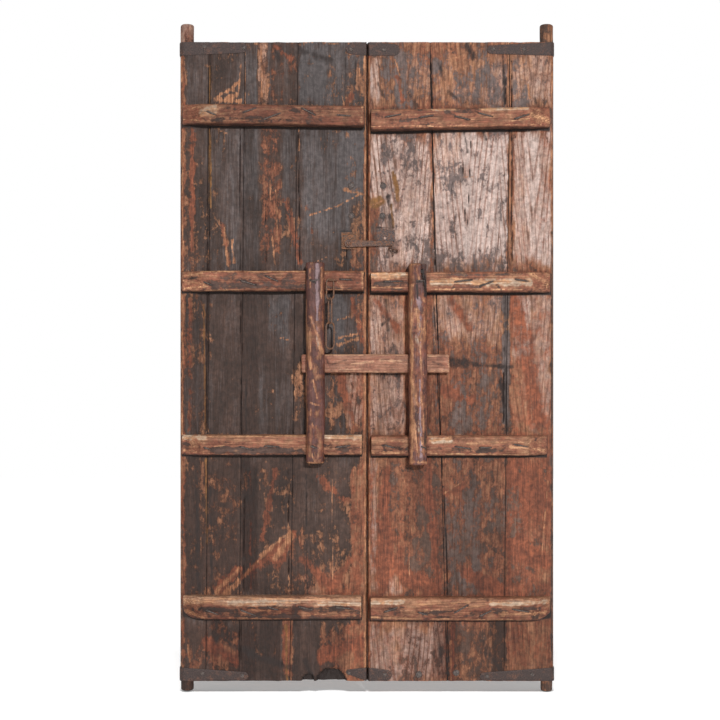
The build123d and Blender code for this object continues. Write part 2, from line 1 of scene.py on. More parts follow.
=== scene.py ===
import math
import bmesh
import bpy
import numpy as np
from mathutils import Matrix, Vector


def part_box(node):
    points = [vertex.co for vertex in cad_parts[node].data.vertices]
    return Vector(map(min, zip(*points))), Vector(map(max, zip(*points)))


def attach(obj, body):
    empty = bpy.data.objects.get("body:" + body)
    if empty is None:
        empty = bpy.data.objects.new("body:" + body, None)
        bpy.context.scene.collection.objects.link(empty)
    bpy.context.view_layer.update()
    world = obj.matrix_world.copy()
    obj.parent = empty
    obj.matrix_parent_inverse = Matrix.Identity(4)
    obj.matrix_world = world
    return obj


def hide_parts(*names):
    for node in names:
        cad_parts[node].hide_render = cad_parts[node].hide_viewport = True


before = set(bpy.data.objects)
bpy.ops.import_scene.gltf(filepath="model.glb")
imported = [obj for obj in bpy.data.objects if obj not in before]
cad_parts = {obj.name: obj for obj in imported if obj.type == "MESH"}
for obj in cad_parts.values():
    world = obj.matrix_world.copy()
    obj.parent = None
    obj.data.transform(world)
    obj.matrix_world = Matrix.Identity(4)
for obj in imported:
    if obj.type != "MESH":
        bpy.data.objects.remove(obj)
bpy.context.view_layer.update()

# Studio: the closed pair stands on a pale floor and is seen straight on at its middle
# height. A distant lamp in front, a little above and to the right, gives the short
# shadows, a white room fills them, and a high lamp lights the floor.
MM_PER_PIXEL = 3.14
PHOTO_SIZE = 720
PHOTO_MIDDLE_X = 366.9
PHOTO_FLOOR_Y = 692.3
VIEW_DISTANCE = 5.0
SENSOR = 0.036


def seen(px, py):
    """X and Z in metres on the boards of a point at these pixels of the photo."""
    x = (px - PHOTO_MIDDLE_X) * MM_PER_PIXEL / 1000
    return x, (PHOTO_FLOOR_Y - py) * MM_PER_PIXEL / 1000


def put(tree, kind, inputs=None, **settings):
    """Add a node; an input's value may be a plain value or another node's socket."""
    new = tree.nodes.new(kind)
    for key, value in settings.items():
        setattr(new, key, value)
    for key, value in (inputs or {}).items():
        if isinstance(value, bpy.types.NodeSocket):
            tree.links.new(value, new.inputs[key])
        else:
            new.inputs[key].default_value = value
    return new


def placed(name, data):
    """A new object of this data, in the scene."""
    made = bpy.data.objects.new(name, data)
    bpy.context.scene.collection.objects.link(made)
    return made


def blank_material(name):
    """A material with an empty node tree, and the tree."""
    made = bpy.data.materials.new(name)
    made.use_nodes = True
    made.node_tree.nodes.clear()
    return made, made.node_tree


def reckon(tree, operation, first, second=0.0):
    """One step of arithmetic."""
    return put(tree, "ShaderNodeMath", {0: first, 1: second}, operation=operation).outputs[0]


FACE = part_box("left_outer_board")[0][1]
middle_x, middle_z = seen(PHOTO_SIZE / 2, PHOTO_SIZE / 2)
lens_width = PHOTO_SIZE * MM_PER_PIXEL / 1000
camera_data = bpy.data.cameras.new("camera")
camera_data.lens = SENSOR * 1000 * VIEW_DISTANCE / lens_width
camera_data.sensor_width = SENSOR * 1000
camera = placed("camera", camera_data)
camera.location = (middle_x, FACE - VIEW_DISTANCE, middle_z)
camera.rotation_euler = (math.radians(90), 0, 0)
bpy.context.scene.camera = camera
bpy.context.scene.view_settings.view_transform = "Standard"

ROOM_LIGHT = 0.30


def sun(name, strength, width, rise, side):
    """A distant lamp in front of the pair, raised and turned to the right by degrees."""
    data = bpy.data.lights.new(name, "SUN")
    data.energy = strength
    data.angle = math.radians(width)
    made = placed(name, data)
    made.rotation_euler = (math.radians(90 - rise), 0, math.radians(side))
    return made


lamp = sun("lamp", strength=2.35, width=2.0, rise=15.0, side=10.0)
floor_lamp = sun("floor_lamp", strength=2.6, width=12.0, rise=68.0, side=0.0)

world = bpy.data.worlds.new("room")
world.use_nodes = True
bpy.context.scene.world = world


def white_to_camera(tree, plain, seen_level):
    """plain for the light on the pair, seen_level where the camera or a gloss sees it."""
    path = put(tree, "ShaderNodeLightPath").outputs
    seen_by = reckon(tree, "MAXIMUM", path["Is Camera Ray"], path["Is Glossy Ray"])
    seen_by = reckon(tree, "MAXIMUM", seen_by, path["Is Transmission Ray"])
    return put(tree, "ShaderNodeMapRange", {"Value": seen_by, "To Min": plain,
               "To Max": seen_level}).outputs[0]


room = world.node_tree
room.nodes.clear()
glow = put(room, "ShaderNodeBackground", {"Color": (1, 1, 1, 1),
           "Strength": white_to_camera(room, ROOM_LIGHT, 1.0)})
put(room, "ShaderNodeOutputWorld", {"Surface": glow.outputs[0]})

FLOOR_WHITE = 0.88
FLOOR_LIFT = 0.20
FLOOR_REACH = 9
floor_mesh = bpy.data.meshes.new("floor")
corners = [(x * FLOOR_REACH, y * FLOOR_REACH, 0) for x, y in ((-1, -1), (1, -1), (1, 1), (-1, 1))]
floor_mesh.from_pydata(corners, [], [(0, 1, 2, 3)])
floor = placed("floor", floor_mesh)
pale, tree = blank_material("floor")
matt = put(tree, "ShaderNodeBsdfDiffuse", {"Color": (FLOOR_WHITE,) * 3 + (1,)})
lift = put(tree, "ShaderNodeEmission", {"Color": (1, 1, 1, 1),
           "Strength": white_to_camera(tree, 0.0, FLOOR_LIFT)})
shown = put(tree, "ShaderNodeAddShader", {0: matt.outputs[0], 1: lift.outputs[0]})
put(tree, "ShaderNodeOutputMaterial", {"Surface": shown.outputs[0]})
floor_mesh.materials.append(pale)
# The high lamp lights the floor alone, and the low one the pair alone
for light, state in ((lamp, "EXCLUDE"), (floor_lamp, "INCLUDE")):
    lit = bpy.data.collections.new(f"{light.name}_floor")
    lit.objects.link(floor)
    light.light_linking.receiver_collection = lit
    lit.collection_objects[0].light_linking.link_state = state

# Boards: sawn planks of a soft wood, nailed edge to edge to the battens. The outer one
# of each leaf is the pivot stile, with its pintles worked on it. A dark coat over an old
# red one is worn through in streaks and patches, and the grain stands up.
boards_low, boards_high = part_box("left_outer_board")
BACK = boards_high[1]
LEAF_LOW, LEAF_TOP = boards_low[2], boards_high[2]
LEVELS = ("top", "upper", "lower", "bottom")
COLUMN, BACK_COLUMN, ROW, SIDE_ROW = 0.0031, 0.010, 0.0055, 0.009
BOARD_ROUND, EDGE_ROUND = 0.0020, 0.014
GRAIN_DEPTH, SPLIT_DEPTH, GNAWED_DEPTH, POCKET_DEPTH = 0.0008, 0.003, 0.0018, 0.022
TOUCH, END_REACH = 1e-4, 0.012


def lattice(x, y, z, seed):
    """A repeatable number from 0 to 1 for each whole-numbered place."""
    n = (x * 73856093) ^ (y * 19349663) ^ (z * 83492791) ^ (seed * 2654435761)
    n = ((n ^ (n >> 13)) * 1274126177) & 0xFFFFFFFF
    n = ((n ^ (n >> 16)) * 668265263) & 0xFFFFFFFF
    return (n ^ (n >> 15)) / 0xFFFFFFFF


def lumps(x, y, z, size, seed):
    """Smooth noise from -1 to 1; size is the extent of a lump along X, Y and Z."""
    cells, eased = [], []
    for along, extent in zip((x, y, z), size):
        at = along / extent
        low = np.floor(at)
        part = at - low
        cells.append(low.astype(np.int64))
        eased.append(part ** 3 * (part * (part * 6 - 15) + 10))
    total = 0
    for corner in range(8):
        steps = (corner & 1, corner >> 1 & 1, corner >> 2 & 1)
        weight = 1
        for step, part in zip(steps, eased):
            weight = weight * (part if step else 1 - part)
        at = [cell + step for cell, step in zip(cells, steps)]
        total = total + weight * lattice(*at, seed)
    return 2 * total - 1


def ragged(x, y, z, size, seed, layers=4):
    """Lumps of several sizes over each other, about -1 to 1."""
    total, share, whole = 0, 1.0, 0
    for layer in range(layers):
        part = [extent / 2 ** layer for extent in size]
        total = total + share * lumps(x, y, z, part, seed + layer)
        whole += share
        share *= 0.6
    return total / whole * 1.6


def smooth(value, low, high):
    """Ease from 0 at low to 1 at high."""
    part = np.clip((value - low) / (high - low), 0, 1)
    return part * part * (3 - 2 * part)


def pixels(length):
    """A length in the photo's pixels, in metres."""
    return length * MM_PER_PIXEL / 1000


def stroke(x, z, start, end, width, seed, fray=0.55):
    """How far each point lies within a ragged stroke between two places."""
    (x0, z0), (x1, z1) = start, end
    run, rise = x1 - x0, z1 - z0
    share = np.clip(((x - x0) * run + (z - z0) * rise) / (run ** 2 + rise ** 2), 0, 1)
    gap = np.hypot(x - x0 - share * run, z - z0 - share * rise) / width
    near = gap < 2
    inside = np.zeros_like(gap)
    size = (max(width, 0.003) * 1.5, 1, max(width, 0.003) * 5)
    torn = ragged(x[near], 0 * x[near], z[near], size, seed)
    inside[near] = smooth(1.2 - gap[near] + fray * torn, 0, 1.1)
    return inside


def strongest(x, z, rows, seed):
    """The strongest of a list of strokes at each point; places are in photo pixels."""
    most = np.zeros_like(x)
    for number, (x_start, y_start, x_end, y_end, width) in enumerate(rows):
        mark = stroke(x, z, seen(x_start, y_start), seen(x_end, y_end), pixels(width),
                      seed + 7 * number)
        most = np.maximum(most, mark)
    return most


def midway(values):
    """The middle of the values' range, and half its length."""
    low, high = np.min(values), np.max(values)
    return (low + high) / 2, (high - low) / 2


def joints_of(node):
    """X of a board's two sides at its foot and at its top."""
    points = corners_of(node)
    front = points[np.abs(points[:, 1] - FACE) < TOUCH]
    sides = []
    for z in (LEAF_LOW, LEAF_TOP):
        near = points[np.abs(points[:, 2] - z) < TOUCH]
        sides.append((near[:, 0].min(), near[:, 0].max()))
    if node.endswith("inner_board"):
        meeting = 1 if front[:, 0].mean() < 0 else 0
        edge = front[:, 0].max() if meeting else front[:, 0].min()
        for number, pair in enumerate(sides):
            kept = list(pair)
            kept[meeting] = edge
            sides[number] = tuple(kept)
    (foot_left, foot_right), (top_left, top_right) = sides
    return (foot_left, top_left), (foot_right, top_right)


def corners_of(node):
    """The node's vertices in metres."""
    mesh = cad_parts[node].data
    points = np.empty(len(mesh.vertices) * 3)
    mesh.vertices.foreach_get("co", points)
    return points.reshape(-1, 3)


def new_object(name, points, faces):
    """A mesh object at the origin from points and faces."""
    mesh = bpy.data.meshes.new(name)
    mesh.from_pydata(points, [], faces)
    mesh.validate()
    return placed(name, mesh)


def ring_faces(around, rows):
    """Quads between rings of points, and a face closing each end."""
    index = np.arange(around * rows).reshape(rows, around)
    low, high = index[:-1], index[1:]
    quads = np.stack([low, np.roll(low, -1, 1), np.roll(high, -1, 1), high], -1)
    faces = quads.reshape(-1, 4).tolist()
    faces.append(index[0][::-1].tolist())
    faces.append(index[-1].tolist())
    return faces


def deliver(made, body, node, angle=38, finish=None):
    """Smooth shading but for sharp edges, then hide the imported node and tie the piece to its
    body.
    """
    if finish:
        made.data.materials.append(finish)
    made.data.shade_smooth()
    made.data.set_sharp_from_angle(angle=math.radians(angle))
    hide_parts(node)
    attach(made, body)


def paint_wear(made, **amounts):
    """Keep the wear amounts at each point, for the wood's material to read; the dirt amount also
    holds painted shade.
    """
    count = len(made.data.vertices)
    for name, channels in (("wear", ("coat", "red", "chip", "dirt")),
                           ("shade", ("bleach", "cool", "ochre", "grime"))):
        parts = [np.broadcast_to(amounts.get(channel, 0.0), count) for channel in channels]
        layer = made.data.attributes.new(name, "FLOAT_COLOR", "POINT")
        layer.data.foreach_set("color", np.clip(np.stack(parts, -1), 0, 1).ravel())


def joined(name, pieces):
    """One plain mesh object from several."""
    bpy.ops.object.select_all(action="DESELECT")
    for piece in pieces:
        piece.select_set(True)
    bpy.context.view_layer.objects.active = pieces[0]
    if len(pieces) > 1:
        bpy.ops.object.join()
    pieces[0].name = name
    pieces[0].data.name = name
    return pieces[0]


def tint(red, green, blue):
    """A colour by its screen values from 0 to 255."""
    share = np.array([red, green, blue]) / 255
    linear = np.where(share > 0.04045, ((share + 0.055) / 1.055) ** 2.4, share / 12.92)
    return (*linear.tolist(), 1.0)


def blend(tree, share, first, second, kind="MIX"):
    """Mix two colours."""
    return put(tree, "ShaderNodeMix", {0: share, 6: first, 7: second}, data_type="RGBA",
               blend_type=kind).outputs[2]


def times(tree, first, second, plus=0.0):
    """first times second, plus a third value."""
    return put(tree, "ShaderNodeMath", {0: first, 1: second, 2: plus},
               operation="MULTIPLY_ADD").outputs[0]


def between(tree, value, low, high, at_low=0.0, at_high=1.0, kind="LINEAR"):
    """Map a value from one range to another, held at its ends."""
    return put(tree, "ShaderNodeMapRange", {"Value": value, "From Min": low,
               "From Max": high, "To Min": at_low, "To Max": at_high},
               interpolation_type=kind).outputs[0]


def noise(tree, place, size, detail=4.0, roughness=0.6, warp=0.0):
    """Noise from 0 to 1 whose lumps are about size metres."""
    return put(tree, "ShaderNodeTexNoise", {"Vector": place, "Scale": 1 / size,
               "Detail": detail, "Roughness": roughness, "Distortion": warp}).outputs["Fac"]


def skin(tree, colour, dull, relief, strength, depth, **more):
    """Close a material: one shader with this colour, dullness and relief."""
    bump = put(tree, "ShaderNodeBump", {"Strength": strength, "Distance": depth,
               "Height": relief}).outputs[0]
    shader = put(tree, "ShaderNodeBsdfPrincipled", {"Base Color": colour, "Roughness": dull,
                 "Normal": bump})
    for name, value in more.items():
        shader.inputs[name.replace("_", " ")].default_value = value
    put(tree, "ShaderNodeOutputMaterial", {"Surface": shader.outputs[0]})


GRIMY = (0.34, 0.25, 0.21, 1)
# Sizes in metres of the noises that break up the wood's colours, from fine to coarse
FIBRE, FLECK, MOTTLE, FLAKE = 0.0030, 0.0055, 0.016, 0.017
PATCH, DRIFT, CLOUD = 0.032, 0.055, 0.07
# How much shorter the grain's axis is to the noises that are drawn out along it
DRAWN_OUT, FLAKES_OUT = 0.045, 0.45
# Heart lines stand at even steps across the leaves, so deep behind the face, and rise
# towards it; the waver is that of the rings about a heart and of plain straight ones
FIRST_HEART, HEART_STEP, HEART_DEPTH, HEART_RISE = 0.3111, 0.2106, 0.015, 0.11
HEART_WAVER, PLAIN_WAVER = 13.0, 46.0


def wood(name, along, bare, bleached, red, coat, cool, chip, ochre=tint(138, 96, 56),
         dirt=tint(38, 28, 25), ring_gap=0.0085, sheen=0.62, heart=None):
    """Weathered wood, its grain along one axis. Red and dark coats, bare chips, dirt and
    painted shade lie over it by the wear amounts, broken up by flaking and by the grain.
    Boards sawn through the heart of the tree show nested points about each heart line."""
    made, tree = blank_material(name)
    place = put(tree, "ShaderNodeTexCoord").outputs["Object"]

    def shortened(amount):
        """Places whose grain axis is shortened, so that noise is drawn out along it."""
        scale = [1.0, 1.0, 1.0]
        scale["XYZ".index(along)] = amount
        return put(tree, "ShaderNodeMapping", {"Vector": place, "Scale": scale}).outputs[0]

    def amounts(layer):
        """The four wear amounts of one layer."""
        kept = put(tree, "ShaderNodeAttribute", attribute_name=layer).outputs
        parts = put(tree, "ShaderNodeSeparateColor", {"Color": kept["Color"]}).outputs
        return (*parts, kept["Alpha"])

    drawn, flaky = shortened(DRAWN_OUT), shortened(FLAKES_OUT)
    fibre = noise(tree, drawn, FIBRE, 4.0, 0.70)
    drift = noise(tree, drawn, DRIFT, 2.0, 0.5)
    cloud = noise(tree, flaky, CLOUD, 5.0, 0.6)
    flake = noise(tree, flaky, FLAKE, 6.0, 0.66, 0.3)
    fleck = noise(tree, flaky, FLECK, 4.0, 0.7)
    patch = noise(tree, place, PATCH, 5.0, 0.62, 0.5)
    mottle = noise(tree, place, MOTTLE, 5.0, 0.68, 0.4)
    coated, reddened, chipped, darkened = amounts("wear")
    bleach, coolness, stained, grime = amounts("shade")

    axes = put(tree, "ShaderNodeSeparateXYZ", {"Vector": place}).outputs
    across = axes["X" if along == "Z" else "Z"]
    waver = PLAIN_WAVER
    if heart is not None:
        reach = reckon(tree, "PINGPONG", times(tree, across, 1.0, -heart), HEART_STEP / 2)
        reach = reckon(tree, "SQRT", times(tree, reach, reach, HEART_DEPTH ** 2))
        across = times(tree, axes["Z"], -HEART_RISE, reach)
        waver = HEART_WAVER
    turns = times(tree, across, 2 * math.pi / ring_gap, times(tree, drift, waver))
    ring = between(tree, reckon(tree, "SINE", turns), 0.2, 1.0, kind="SMOOTHSTEP")
    ring = times(tree, ring, between(tree, cloud, 0.36, 0.62, 0.4, 1.2))

    def broken(amount, *weights, soft=0.12):
        """An amount broken up by the noises, hardened about its middle. The weights are
        those of the clouds, the flakes, the flecks, the fibres and the patches."""
        total = amount
        for part, weight in zip((cloud, flake, fleck, fibre, patch), weights):
            total = times(tree, part, weight, total)
        middle = 0.5 + sum(weights) / 2
        return between(tree, total, middle - soft, middle + soft, kind="SMOOTHSTEP")

    layers = []
    for (deep, middle, pale_tone), by_ring in ((bare, -0.28), (bleached, -0.44)):
        grain = times(tree, ring, by_ring, times(tree, fibre, 1.1, -0.20 - by_ring * 0.7))
        ramp = put(tree, "ShaderNodeValToRGB", {"Fac": grain})
        ramp.color_ramp.elements[0].position = 0.08
        ramp.color_ramp.elements[0].color = deep
        ramp.color_ramp.elements[1].position = 0.78
        ramp.color_ramp.elements[1].color = pale_tone
        ramp.color_ramp.elements.new(0.40).color = middle
        layers.append(ramp.outputs["Color"])
    colour = blend(tree, broken(bleach, 0.5, 0.6, 0.2, 0.3, soft=0.3), *layers)
    streaky = times(tree, patch, 0.6, times(tree, fibre, 0.4))
    red_tone = blend(tree, between(tree, streaky, 0.36, 0.62), *red)
    red_mask = broken(reddened, 0.9, 1.0, 0.6, 0.7, 0.9, soft=0.32)
    colour = blend(tree, red_mask, colour, red_tone)
    coat_tone = blend(tree, between(tree, cloud, 0.35, 0.65), *coat)
    coat_tone = blend(tree, broken(coolness, 0.7, 0.4, 0.0, 0.9, soft=0.3), coat_tone, cool)
    coat_mask = broken(coated, 0.9, 1.1, 0.8, 0.4, 1.4, soft=0.15)
    colour = blend(tree, coat_mask, colour, coat_tone)
    colour = blend(tree, broken(stained, 0.6, 0.9, 0.6, 0.6, soft=0.35), colour, ochre)
    chip_mask = broken(chipped, 0.4, 0.9, 0.8, 0.5, 0.4, soft=0.17)
    chip_tone = blend(tree, between(tree, fibre, 0.35, 0.65), *chip)
    colour = blend(tree, chip_mask, colour, chip_tone)

    light = times(tree, between(tree, fibre, 0.3, 0.7, -0.32, 0.32),
                  times(tree, bleach, -0.6, 1.0), 0.905)
    for part, *levels in ((fleck, 0.3, 0.7, 0.86, 1.11), (cloud, 0.3, 0.7, 0.86, 1.10),
                          (drift, 0.34, 0.66, 0.87, 1.12),
                          (mottle, 0.36, 0.64, 0.70, 1.18, "SMOOTHSTEP")):
        light = times(tree, light, between(tree, part, *levels))
    grimy = times(tree, grime, between(tree, cloud, 0.3, 0.7, 0.75, 1.1))
    colour = blend(tree, 1.0, colour, light, "MULTIPLY")
    colour = blend(tree, grimy, colour, GRIMY, "MULTIPLY")
    # The dirt amount darkens towards the dirt colour; it holds real dirt and also painted shade.
    colour = blend(tree, broken(darkened, 0.5, 0.7, 0.4, 0.5, soft=0.35), colour, dirt)

    relief = times(tree, fibre, 1.0, times(tree, ring, -0.5))
    relief = times(tree, flake, 0.9, times(tree, coat_mask, 0.5, relief))
    dull = between(tree, fleck, 0.2, 0.8, sheen - 0.10, sheen + 0.16)
    skin(tree, colour, dull, relief, 0.8, 0.0012, Specular_IOR_Level=0.28)
    return made


def spread(first, last, step):
    """Evenly spaced places from first to last, both included."""
    return np.linspace(first, last, max(2, int(round(abs(last - first) / step)) + 1))


def board_section(width, rounds):
    """The ring of a board's section, as (share of width, offset from there, Y). It runs
    along the front from left to right and back along the rear."""
    left_round, right_round = rounds
    points = []

    def corner(share, way, y, inward, radius, first, last):
        for angle in np.linspace(first, last, 8 if radius > 0.005 else 3):
            swing = math.radians(angle)
            points.append((share, way * radius * (1 - math.sin(swing)),
                           y + inward * radius * (1 - math.cos(swing))))

    corner(0, 1, FACE, 1, left_round, 90, 0)
    points += [(x / width, 0, FACE) for x in spread(left_round, width - right_round, COLUMN)[1:-1]]
    corner(1, -1, FACE, 1, right_round, 0, 90)
    points += [(1, 0, y) for y in spread(FACE + right_round, BACK - right_round, SIDE_ROW)[1:-1]]
    corner(1, -1, BACK, -1, right_round, 90, 0)
    points += [(x / width, 0, BACK)
               for x in spread(width - right_round, left_round, BACK_COLUMN)[1:-1]]
    corner(0, 1, BACK, -1, left_round, 0, 90)
    points += [(0, 0, y) for y in spread(BACK - left_round, FACE + left_round, SIDE_ROW)[1:-1]]
    return np.array(points)


# How worn each leaf is, as ragged areas: the photo's left, right, top and bottom pixel,
# then the dark coat, the red coat, bleaching and the coat's coolness
AREAS = {
    "left": [
        (180, 370, 38, 690, .8, .4, 0, .35), (184, 198, 130, 270, .62, .6, 0, .15),
        (208, 258, 126, 270, .93, .35, 0, .42), (240, 258, 128, 200, .97, .3, 0, .55),
        (257, 270, 50, 104, .5, .2, .3, .3), (260, 281, 110, 272, .52, .75, 0, .1),
        (282, 296, 128, 200, .9, .3, 0, .55), (303, 350, 128, 236, .92, .35, 0, .6),
        (338, 352, 140, 200, .9, .3, 0, .8), (257, 268, 40, 106, .38, .2, .35, 0),
        (244, 257, 56, 106, .98, .3, 0, .55), (208, 243, 56, 92, .88, .4, 0, .3),
        (270, 300, 42, 104, .68, .75, 0, .2), (300, 327, 44, 104, .9, .3, .1, .9),
        (327, 345, 44, 106, .74, .5, .1, .6), (345, 365, 44, 104, .56, .5, .2, .5),
        (346, 365, 128, 200, .72, .5, .15, .8), (212, 304, 296, 432, .98, .3, 0, .22),
        (282, 303, 366, 432, .62, .5, .1, .3), (268, 292, 296, 330, .85, .6, 0, .6),
        (327, 345, 296, 350, .88, .4, 0, .7), (327, 345, 362, 432, .5, .5, .2, .3),
        (345, 366, 362, 432, .24, .48, .4, .1), (350, 366, 240, 350, .55, .65, .1, .4),
        (184, 240, 458, 596, .72, .55, 0, 0), (240, 300, 458, 596, .74, .55, 0, 0),
        (300, 350, 458, 596, .74, .55, 0, .12), (350, 367, 458, 596, .34, .7, .1, 0),
        (303, 366, 575, 597, .35, .6, .3, 0), (282, 303, 526, 596, .58, .7, 0, 0),
        (184, 240, 620, 645, .6, .7, 0, 0), (184, 240, 645, 668, .36, .6, .3, 0),
        (240, 284, 620, 682, .95, .5, 0, .1), (282, 293, 620, 682, .2, .6, 0, 0),
        (293, 320, 620, 682, .9, .4, 0, .15), (318, 348, 622, 682, .56, .7, .1, 0),
        (346, 367, 622, 682, .22, .65, .2, 0), (241, 258, 456, 526, .96, .4, 0, 0),
        (258, 282, 366, 432, .86, .35, 0, .35), (181, 185, 40, 670, .2, .7, .1, 0),
        # The last row is the left leaf's rounded meeting edge, worn and also painted lighter as
        # lit.
        (364, 369, 40, 690, .05, .55, .1, 0),
    ],
    "right": [
        (366, 556, 38, 690, .4, .6, .1, .2), (368, 431, 56, 108, .44, .45, .2, .5),
        (369, 380, 60, 108, .08, .2, .5, .2), (433, 500, 56, 90, .48, .4, .3, .7),
        (433, 500, 88, 108, .4, .4, .4, .7), (512, 530, 57, 108, .44, .3, .4, .7),
        (529, 552, 57, 108, .3, .3, .45, .3), (404, 431, 56, 108, .38, .4, .3, .5),
        (378, 431, 130, 272, .42, .3, .66, .6), (369, 382, 130, 200, .12, .1, .62, .2),
        (434, 504, 130, 152, .42, .65, .2, .6), (434, 507, 146, 264, .28, .15, .96, .9),
        (462, 507, 132, 175, .14, .1, 1., .9), (434, 504, 262, 272, .5, .4, .4, .6),
        (513, 551, 128, 264, .06, .3, .52, 0), (524, 540, 128, 230, 0, .1, .7, 0),
        (530, 552, 196, 264, 0, .2, .7, 0), (434, 462, 130, 200, .42, .2, .58, .8),
        (490, 511, 57, 108, .36, .4, .4, .6), (507.5, 511.5, 57, 272, 0, .25, 0, 0),
        (369, 404, 296, 432, .3, .35, .45, .4), (404, 432, 296, 432, .3, .6, .3, .2),
        (433, 503, 296, 345, .34, .35, .42, .7), (433, 503, 345, 432, .5, .7, .05, .35),
        (486, 504, 366, 432, .42, .6, .1, .35), (503, 509, 288, 432, 1., .2, 0, .8),
        (511, 531, 290, 366, .14, .26, .5, .2), (511, 531, 366, 432, .12, .5, .25, .1),
        (530, 552, 290, 432, .03, .4, .45, 0), (369, 404, 520, 596, .22, .75, .1, 0),
        (369, 404, 456, 520, .46, .6, 0, .2), (369, 378, 456, 596, .1, .5, .5, 0),
        (369, 444, 582, 597, .15, .4, .5, 0), (404, 441, 456, 596, .52, .75, 0, .1),
        (447, 505, 456, 596, .48, .65, .05, .3), (507, 550, 456, 596, .34, .95, 0, .1),
        (510, 532, 530, 590, .46, .8, .1, 0), (531, 550, 520, 590, .2, .6, .2, 0),
        (369, 446, 620, 682, .25, .4, .5, .2), (449, 506, 620, 682, .52, .55, .1, .1),
        (490, 511, 620, 682, .72, .5, 0, .1), (507, 552, 620, 672, .18, .55, .25, .1),
        # This row darkens a ragged strip down the right leaf's rounded outer edge.
        (552, 558, 226, 662, 1., .1, 0, .5),
    ],
}
# Grime that darkens all that is under it: the same four edges, then its amount
GRIME = {
    "left": [
        (183, 211, 290, 432, .64), (211, 241, 290, 432, .33), (241, 258, 290, 432, .5),
        (258, 285, 296, 370, .33), (241, 258, 126, 270, .4), (183, 240, 458, 596, .62),
        (241, 258, 458, 596, 1.), (258, 303, 458, 525, .34), (258, 270, 525, 596, .4),
        (270, 303, 525, 596, .15), (183, 211, 620, 690, .5), (211, 241, 620, 690, 1.),
        (241, 258, 620, 690, 1.), (258, 282, 620, 690, .82), (282, 303, 620, 690, .5),
        (303, 326, 620, 690, .58), (326, 346, 620, 690, .7), (346, 364, 620, 690, .15),
        (211, 240, 40, 80, .25), (282, 303, 130, 262, .2), (256, 284, 40, 108, .36),
    ],
    "right": [
        (369, 404, 620, 690, .4), (404, 432, 620, 690, .56), (432, 462, 620, 690, .92),
        (462, 490, 620, 690, .46), (490, 511, 620, 690, 1.), (511, 531, 620, 690, .85),
        # (552, 558, 226, 662) darkens the same strip down the right leaf's outer edge.
        (552, 558, 226, 662, .6), (531, 552, 620, 690, .64), (369, 404, 458, 525, .22),
        (432, 511, 458, 530, .26), (432, 490, 530, 596, .38), (490, 511, 530, 596, .56),
        (404, 432, 458, 530, .4), (404, 432, 370, 432, .83), (369, 378, 370, 432, .3),
        (511, 531, 128, 268, .14), (432, 450, 372, 432, .25), (369, 404, 370, 432, .26),
        (511, 531, 458, 525, .15), (432, 462, 200, 268, .32), (369, 400, 200, 268, .2),
        (369, 431, 130, 200, .18),
    ],
    "batten": [
        (184, 240, 105, 129, .42), (240, 304, 105, 129, .5), (304, 366, 105, 129, .36),
        (328, 366, 270, 294, .3), (240, 304, 280, 294, .2), (184, 304, 597, 622, .95),
        (304, 362, 597, 622, .5), (371, 404, 434, 458, .42), (371, 430, 597, 622, .4),
        (430, 550, 597, 622, .56), (184, 240, 434, 458, .36),
    ],
}
# Strokes on each leaf, bare chips first, with a painted highlight along the left meeting edge among
# them: start, end and half width in the photo's pixels.
# The other lists of marks further on are written in the same way.
CHIPS_AND_LIT_EDGE = {
    "left": [
        (261, 44, 262, 100, 1.7), (245, 52, 245, 105, .8), (227, 92, 241, 80, 2.6),
        (216, 99, 240, 101, 3.4), (220, 94, 234, 90, 2.6), (219, 102, 236, 95, 3.),
        # The stroke at x 365.2 is the left leaf's rounded meeting edge: worn bare, and painted
        # lighter as lit.
        (241, 64, 238, 100, .9), (365.2, 57, 365.2, 668, 1.9), (358, 68, 363, 84, 1.6),
        (361, 86, 362, 92, 2.), (182, 58, 182, 108, 1.), (182.5, 130, 182.5, 270, 1.2),
        (183, 300, 182, 470, .9), (310, 215, 338, 206, 1.3), (338, 206, 362, 193, 1.4),
        (345, 190, 362, 194, 2.6), (338, 320, 352, 316, 1.4), (338, 345, 357, 339, 3.),
        (339, 338, 357, 334, 1.6), (216, 592, 239, 570, 4.5), (226, 592, 239, 582, 6.),
        (243, 577, 262, 557, 3.), (262, 556, 290, 531, 3.6), (276, 558, 290, 536, 4.6),
        (283, 528, 290, 528, 2.), (213, 649, 214, 665, .8), (224, 228, 228, 266, 1.6),
        (288, 500, 289, 590, .7), (291, 640, 291, 681, 1.), (299, 129, 299, 150, 1.5),
        (218, 130, 228, 134, 1.2), (259, 162, 261, 168, 1.4), (270, 180, 271, 200, 1.2),
        (276, 190, 277, 240, 1.6), (232, 240, 234, 262, 2.2), (272, 235, 275, 265, 1.2),
        (315, 262, 330, 256, .9), (202, 312, 204, 320, 1.), (280, 338, 292, 341, 1.),
        (188, 645, 190, 662, 1.6), (195, 655, 200, 660, 1.4), (350, 420, 360, 428, 1.4),
        (356, 320, 364, 326, 1.8), (304, 42, 340, 44, .8), (248, 606, 256, 640, .5),
        (332, 470, 333, 580, .5), (200, 470, 201, 560, .6), (320, 130, 322, 150, .8),
        (342, 96, 344, 104, 1.6),
    ],
    "right": [
        (368.5, 60, 368.5, 108, 1.), (368.5, 300, 368.5, 434, 1.2), (455, 178, 478, 176, .8),
        (528, 84, 530, 98, 1.8), (450, 70, 451, 104, 1.), (447, 60, 462, 56, 1.4),
        (369, 207, 384, 200, 1.3), (486, 630, 472, 676, .5), (548, 480, 542, 556, 1.),
        (404, 470, 410, 580, .5), (445, 493, 462, 482, 1.), (435, 310, 435, 345, .7),
        (451, 640, 451, 680, 1.2), (415, 80, 417, 100, .8), (395, 60, 400, 75, 1.2),
        (369.6, 57, 369.6, 670, .9), (552, 60, 552, 108, 1.2), (552, 130, 552, 225, 1.),
        (381, 88, 384, 96, 1.4), (480, 70, 482, 100, .8), (486, 60, 487, 96, .8),
        (530, 360, 532, 420, .6), (440, 480, 441, 560, .6), (470, 60, 472, 92, .8),
    ],
}
